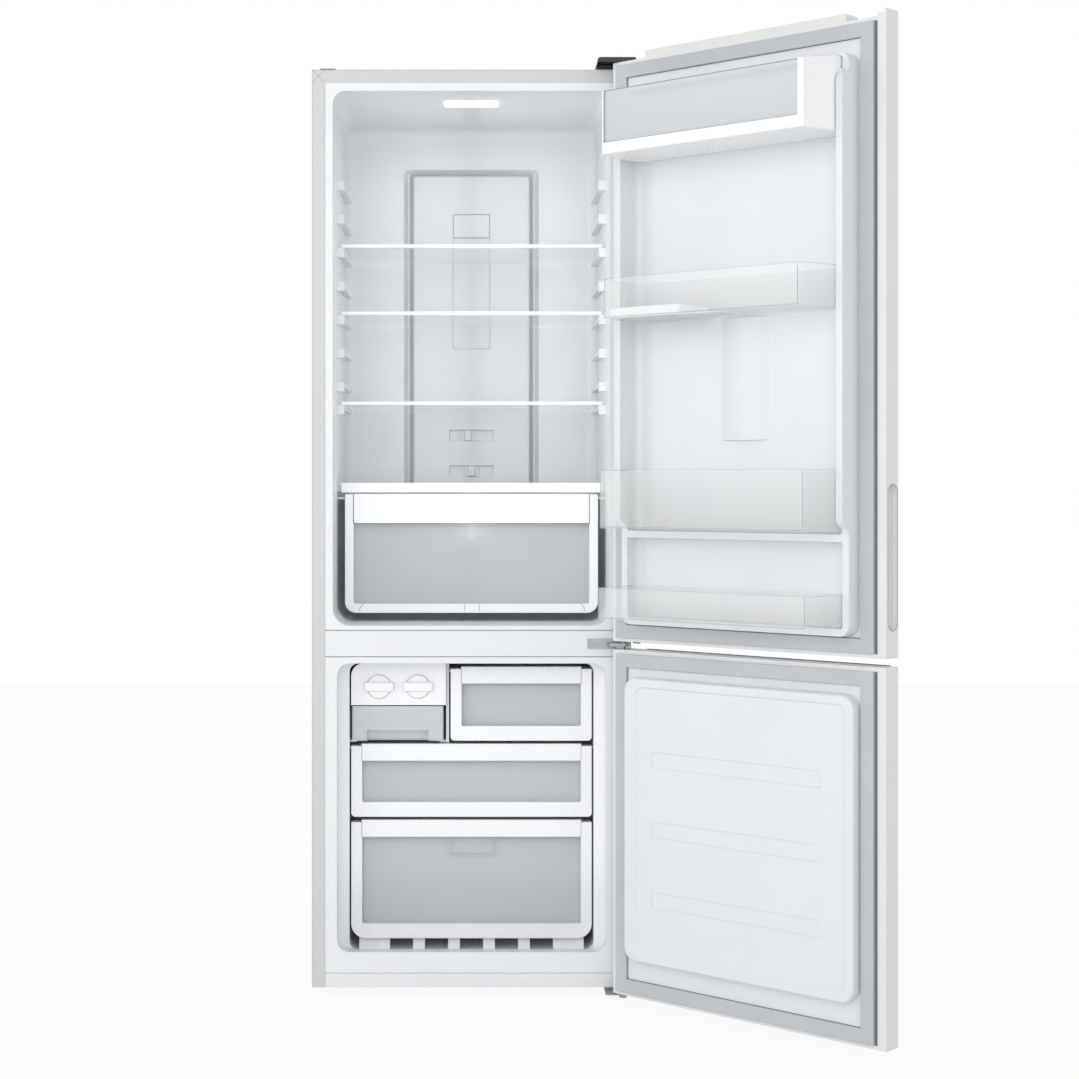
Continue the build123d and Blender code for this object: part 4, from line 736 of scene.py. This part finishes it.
def make_crisper_lines(slate):
    """The joint round the crisper's handle band, and those in the ledge under its window."""
    low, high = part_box("crisper_front")
    y = low[1]
    left, right = low[0] + CRISPER_SIDE, high[0] - CRISPER_SIDE
    foot, top = high[2] - CRISPER_BAND, high[2] - TOP_CLEARANCE
    outline = [(left, y, top), (left, y, foot), (right, y, foot), (right, y, top)]
    joint = raised_lines("crisper_band_joint", [(outline, True)], TOWARDS_FRONT, BAND_LINE)
    new_piece("crisper_band_joint", joint, "crisper", "front_white", slate)

    ledge = low[2] + CRISPER_LEDGE
    foot = low[2] + LEDGE_FOOT
    runs = [([(x, y, ledge), (x, y, foot)], False) for x in LEDGE_JOINTS]
    start, end = LEFT_BOW
    runs.append((bow((left + start, y, ledge), (left + end, y, foot), -BOW_SAG), False))
    start, end = RIGHT_BOW
    runs.append((bow((right - start, y, ledge), (right - end, y, foot), BOW_SAG), False))
    joint = raised_lines("crisper_ledge_joints", runs, TOWARDS_FRONT, LEDGE_LINE)
    new_piece("crisper_ledge_joints", joint, "crisper", "front_white", slate)


def make_drawer_lines(pale):
    """The joints over and beside each drawer's window, and the tab in the bottom drawer's."""
    for name in ("small_drawer", "middle_drawer", "bottom_drawer"):
        low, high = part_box(name + "_front")
        y = low[1]
        sides = (low[0] + DRAWER_SIDE, high[0] - DRAWER_SIDE)
        band, top = high[2] - DRAWER_BAND, high[2] - TOP_CLEARANCE
        runs = [([(x, y, band) for x in sides], False)]
        runs += [([(x, y, band), (x, y, top)], False) for x in sides]
        joint = raised_lines(name + "_joints", runs, TOWARDS_FRONT, DRAWER_LINE)
        new_piece(name + "_joints", joint, name, "front_white", pale)

    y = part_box("bottom_drawer_tub")[0][1]
    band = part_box("bottom_drawer_front")[1][2] - DRAWER_BAND
    end = band - TAB_END
    runs = []
    for inset in (TAB_LINE_INSET, TAB_WALL - TAB_LINE_INSET):
        reach = TAB_WIDTH / 2 - inset
        z = (band - TAB_DROP + inset, band + TAB_OVERLAP)
        loop = rounded_loop((-reach, reach), z, y, TAB_RADIUS - inset / 2)
        below = [point for point in loop if point[2] < band]
        runs.append(([(reach, y, end)] + below + [(-reach, y, end)], False))
    joint = raised_lines("drawer_tab_joints", runs, TOWARDS_FRONT, DRAWER_LINE)
    new_piece("drawer_tab_joints", joint, "bottom_drawer", "tub_clear", pale)


def make_rail_joints(pale):
    """The joints over and under the rail between the compartments."""
    low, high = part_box("middle_rail")
    heights = (low[2] + RAIL_INSET, high[2] - RAIL_INSET)
    runs = [([(low[0], low[1], z), (high[0], low[1], z)], False) for z in heights]
    joint = raised_lines("rail_joints", runs, TOWARDS_FRONT, LEDGE_LINE)
    new_piece("rail_joints", joint, "cabinet", "cabinet_paint", pale)


def make_lines():
    """The thin joints of the cabinet and its compartments, the painted shade along the cabinet
    rim's outer edge, and the painted shade in the crease along each door's seal.
    """
    # slate and pale draw dark joints and also painted shade: slate in the crease at each seal, pale
    # along the rim's outer edge
    slate = finish_of("joint_and_crease_shade_slate", (0.16, 0.18, 0.2), 0.5, mottle=0.1, grain=500, edge=0)
    pale = finish_of("joint_and_edge_shade_grey", (0.5, 0.52, 0.54), 0.5, mottle=0.05, grain=500, edge=0)
    make_rim_lines(pale)
    make_duct_lines(pale)
    make_crisper_lines(slate)
    make_drawer_lines(pale)
    make_rail_joints(pale)
    make_seal_crease_shade(slate)


def make_floor_platforms():
    """The raised ends of the freezer's floor, beside its ribs and shaped as they are."""
    plastic = white_plastic("platform_white", (0.8, 0.81, 0.82))
    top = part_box("bottom_drawer_tub")[0][2] - GAP
    foot = top - PLATFORM_HEIGHT
    profile = [
        (PLATFORM_FRONT - PLATFORM_SLOPE, foot),
        (PLATFORM_FRONT, top),
        (PLATFORM_BACK, top),
        (PLATFORM_BACK, foot),
    ]
    shape = bmesh.new()
    for side in (-1, 1):
        ends = [[shape.verts.new((side * x, y, z)) for y, z in profile] for x in PLATFORM_X]
        join_rings(shape, ends, capped=True)
    bmesh.ops.recalc_face_normals(shape, faces=shape.faces)
    ease_edges(shape, PLATFORM_EASE)
    mesh = mesh_of("floor_platforms", shape)
    new_piece("floor_platforms", mesh, "cabinet", "liner_white", plastic)


# ============================================================ details of the doors
def make_bin_edges():
    """Grey lines along the edges of the door's clear bins: painted reflection, where the light
    gathers in their edges.
    """
    # painted reflection: the grey lines stand in for the light that the bins' clear edges catch
    glint = clear_plastic(
        "bin_edge_reflection", (0.5, 0.54, 0.57), roughness=0.1, clearness=0.2, cover=0.7
    )
    for name, front_half in BIN_FRONT_HALVES.items():
        low, high = (limit[2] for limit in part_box(name))
        bend, corner = Vector((-BIN_BACK_HALF, BIN_BEND)), Vector((-front_half, BIN_FRONT))
        eased = corner.lerp(bend, BIN_SIDE_EASE)
        level_half = front_half - BIN_FRONT_EASE
        plan = [(-BIN_BACK_HALF, BIN_BACK), tuple(bend), tuple(eased), (-level_half, BIN_FRONT)]
        plan += [(-x, y) for x, y in reversed(plan)]
        rim = []
        for x, y in plan:
            x -= BIN_RIM_INSET if x > 0 else -BIN_RIM_INSET
            y -= BIN_RIM_INSET if y == BIN_FRONT else 0
            rim.append((x, y, high))
        foot = low + BIN_FOOT
        face = [([(-level_half, BIN_FRONT, foot), (level_half, BIN_FRONT, foot)], False)]
        for side in (-1, 1):
            x = side * (front_half - BIN_POST_INSET)
            face.append(([(x, BIN_FRONT, foot), (x, BIN_FRONT, high - BIN_POST_TOP)], False))
        lines = [
            raised_lines(name, [(rim, False)], UP, BIN_RIM_LINE),
            raised_lines(name, face, TOWARDS_BACK, BIN_LINE),
        ]
        edges = merge(name + "_edges", lines)
        new_piece(name + "_edges", edges, "upper_door", "bin_clear", glint)


def make_window_joint():
    """The dark joint round the dairy bin's window."""
    shade = clear_plastic(
        "window_edge", (0.3, 0.33, 0.36), roughness=0.3, clearness=0.1, cover=0.8
    )
    left, right = WINDOW_X
    low, high = WINDOW_HEIGHTS
    around = ((left, low), (left, high), (right, high), (right, low))
    corners = [(x, WINDOW_FACE, z) for x, z in around]
    joint = raised_lines("window_joint", [(corners, True)], TOWARDS_BACK, SEAL_LINE)
    new_piece("window_joint", joint, "upper_door", "window_grey", shade)


def make_fittings():
    """The middle hinge's ribbed collars and stop, the painted shadow line on the lower door's top
    edge and the painted shade round the grip's rim.
    """
    steel = brushed_steel("collar_steel", (0.5, 0.52, 0.54))
    black = finish_of(
        "stop_black", (0.02, 0.02, 0.022), 0.4, mottle=0.1, grain=600, grain_depth=0.00002
    )
    brown = finish_of("edge_shadow", (0.09, 0.085, 0.08), 0.6, mottle=0.1, grain=400, edge=0)
    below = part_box("lower_door_trim")[1][2]
    z = (below + COLLAR_FOOT, below + COLLAR_TOP)
    places = [(HINGE_LINE.x + shift, HINGE_LINE.y) for shift in COLLAR_SHIFTS]
    collars = merge("hinge_collars", [ribbed_post("collar", place, z) for place in places])
    new_piece("hinge_collars", collars, "cabinet", "hinge_steel", steel)

    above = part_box("upper_door_gasket")[0][2] - GASKET_FOOT
    z = (above - STOP_DROP, above + STOP_ROOT)
    stop = rounded_block("door_stop", STOP_X, STOP_Y, z, STOP_EASE)
    new_piece("door_stop", stop, "upper_door", "cover_black", black)
    z = (below - TOP_EDGE_ROOT, below + TOP_EDGE_RISE)
    edge = rounded_block("lower_door_top_edge", TOP_EDGE_X, TOP_EDGE_Y, z, TOP_EDGE_EASE)
    new_piece("lower_door_top_edge", edge, "lower_door", "edge_grey", brown)

    reach = GRIP_WIDTH / 2
    low = above + GRIP_LOW
    rim = []
    for middle, start in ((low + GRIP_LENGTH - reach, 0), (low + reach, 180)):
        for step in range(GRIP_STEPS + 1):
            turn = radians(start + 180 * step / GRIP_STEPS)
            back, up = GRIP_MIDDLE + reach * cos(turn), middle + reach * sin(turn)
            rim.append((-GRIP_EDGE, back, up))
    # painted shade: a dark line round the grip's recessed rim
    loop = raised_lines("grip_rim_shade", [(rim, True)], TOWARDS_FREE_EDGE, SEAL_LINE)
    shade = finish_of("rim_shade", (0.34, 0.335, 0.32), 0.5, mottle=0.08, grain=400, edge=0)
    new_piece("grip_rim_shade", loop, "upper_door", "edge_grey", shade)


# ============================================================ stage
def glow_for_camera(tree, shader, output, share=1.0):
    """Shows white to the camera, straight or by way of metal and glass, and the shader to all else.

    The rest of the share is the shader for the camera too, which keeps the object's shadow."""
    path = add_node(tree, "ShaderNodeLightPath")
    white = add_node(tree, "ShaderNodeEmission", Color=(1, 1, 1, 1), Strength=1.0)
    mix = add_node(tree, "ShaderNodeMixShader")
    seen = (path, "Is Camera Ray")
    for ray in ("Is Glossy Ray", "Is Transmission Ray"):
        either = add_node(tree, "ShaderNodeMath")
        either.operation = "MAXIMUM"
        link(tree, seen, (either, 0))
        link(tree, (path, ray), (either, 1))
        seen = (either, "Value")
    shown = add_node(tree, "ShaderNodeMath")
    shown.operation = "MULTIPLY"
    shown.inputs[1].default_value = share
    link(tree, seen, (shown, 0))
    link(tree, (shown, "Value"), (mix, 0))
    tree.links.new(shader, mix.inputs[1])
    link(tree, (white, "Emission"), (mix, 2))
    link(tree, (mix, "Shader"), (output, "Surface"))


def make_floor():
    """A wide pale floor that shows as white."""
    mesh = bpy.data.meshes.new("floor")
    signs = ((-1, -1), (1, -1), (1, 1), (-1, 1))
    corners = [(FLOOR_REACH * x, FLOOR_REACH * y, 0) for x, y in signs]
    mesh.from_pydata(corners, [], [(0, 1, 2, 3)])
    floor = bpy.data.objects.new("floor", mesh)
    bpy.context.scene.collection.objects.link(floor)
    mat = bpy.data.materials.new("floor_white")
    mat.use_nodes = True
    tree = mat.node_tree
    shader = tree.nodes["Principled BSDF"]
    shader.inputs["Base Color"].default_value = FLOOR_COLOUR
    shader.inputs["Roughness"].default_value = FLOOR_ROUGHNESS
    glow_for_camera(tree, shader.outputs["BSDF"], tree.nodes["Material Output"], FLOOR_GLOW)
    mesh.materials.append(mat)


def make_world():
    """Even light from all round, white behind the object."""
    world = bpy.data.worlds.new("studio")
    bpy.context.scene.world = world
    world.use_nodes = True
    tree = world.node_tree
    around = tree.nodes["Background"]
    around.inputs["Color"].default_value = WORLD_COLOUR
    around.inputs["Strength"].default_value = WORLD_STRENGTH
    glow_for_camera(tree, around.outputs["Background"], tree.nodes["World Output"])


def make_lights():
    """A broad front light, a lower side light, and soft fills inside the compartments."""
    for name, place, target, width, height, power in LAMPS:
        light = bpy.data.lights.new(name, "AREA")
        light.shape = "RECTANGLE"
        light.size = width
        light.size_y = height
        light.energy = power
        lamp = bpy.data.objects.new(name, light)
        lamp.location = place
        lamp.rotation_mode = "QUATERNION"
        lamp.rotation_quaternion = (Vector(target) - Vector(place)).to_track_quat("-Z", "Y")
        lamp.visible_camera = False
        bpy.context.scene.collection.objects.link(lamp)


def make_camera():
    """The camera at the photograph's place, level, with its picture shifted as the photograph's."""
    camera = bpy.data.cameras.new("camera")
    camera.sensor_width = SENSOR
    camera.lens = FOCAL_PIXELS / PHOTO_SIDE * SENSOR
    camera.shift_x = 0.5 - VANISHING_POINT[0] / PHOTO_SIDE
    camera.shift_y = VANISHING_POINT[1] / PHOTO_SIDE - 0.5
    eye = bpy.data.objects.new("camera", camera)
    eye.location = (0, -CAMERA_DISTANCE, CAMERA_HEIGHT)
    eye.rotation_euler = (pi / 2, 0, 0)
    bpy.context.scene.collection.objects.link(eye)
    bpy.context.scene.camera = eye


bpy.context.scene.view_settings.view_transform = "Standard"
dress_cabinet()
dress_hinges()
dress_compartments()
dress_doors()
make_gaskets()
make_lines()
make_bin_edges()
make_window_joint()
make_floor_platforms()
make_fittings()
make_floor()
make_world()
make_lights()
make_camera()
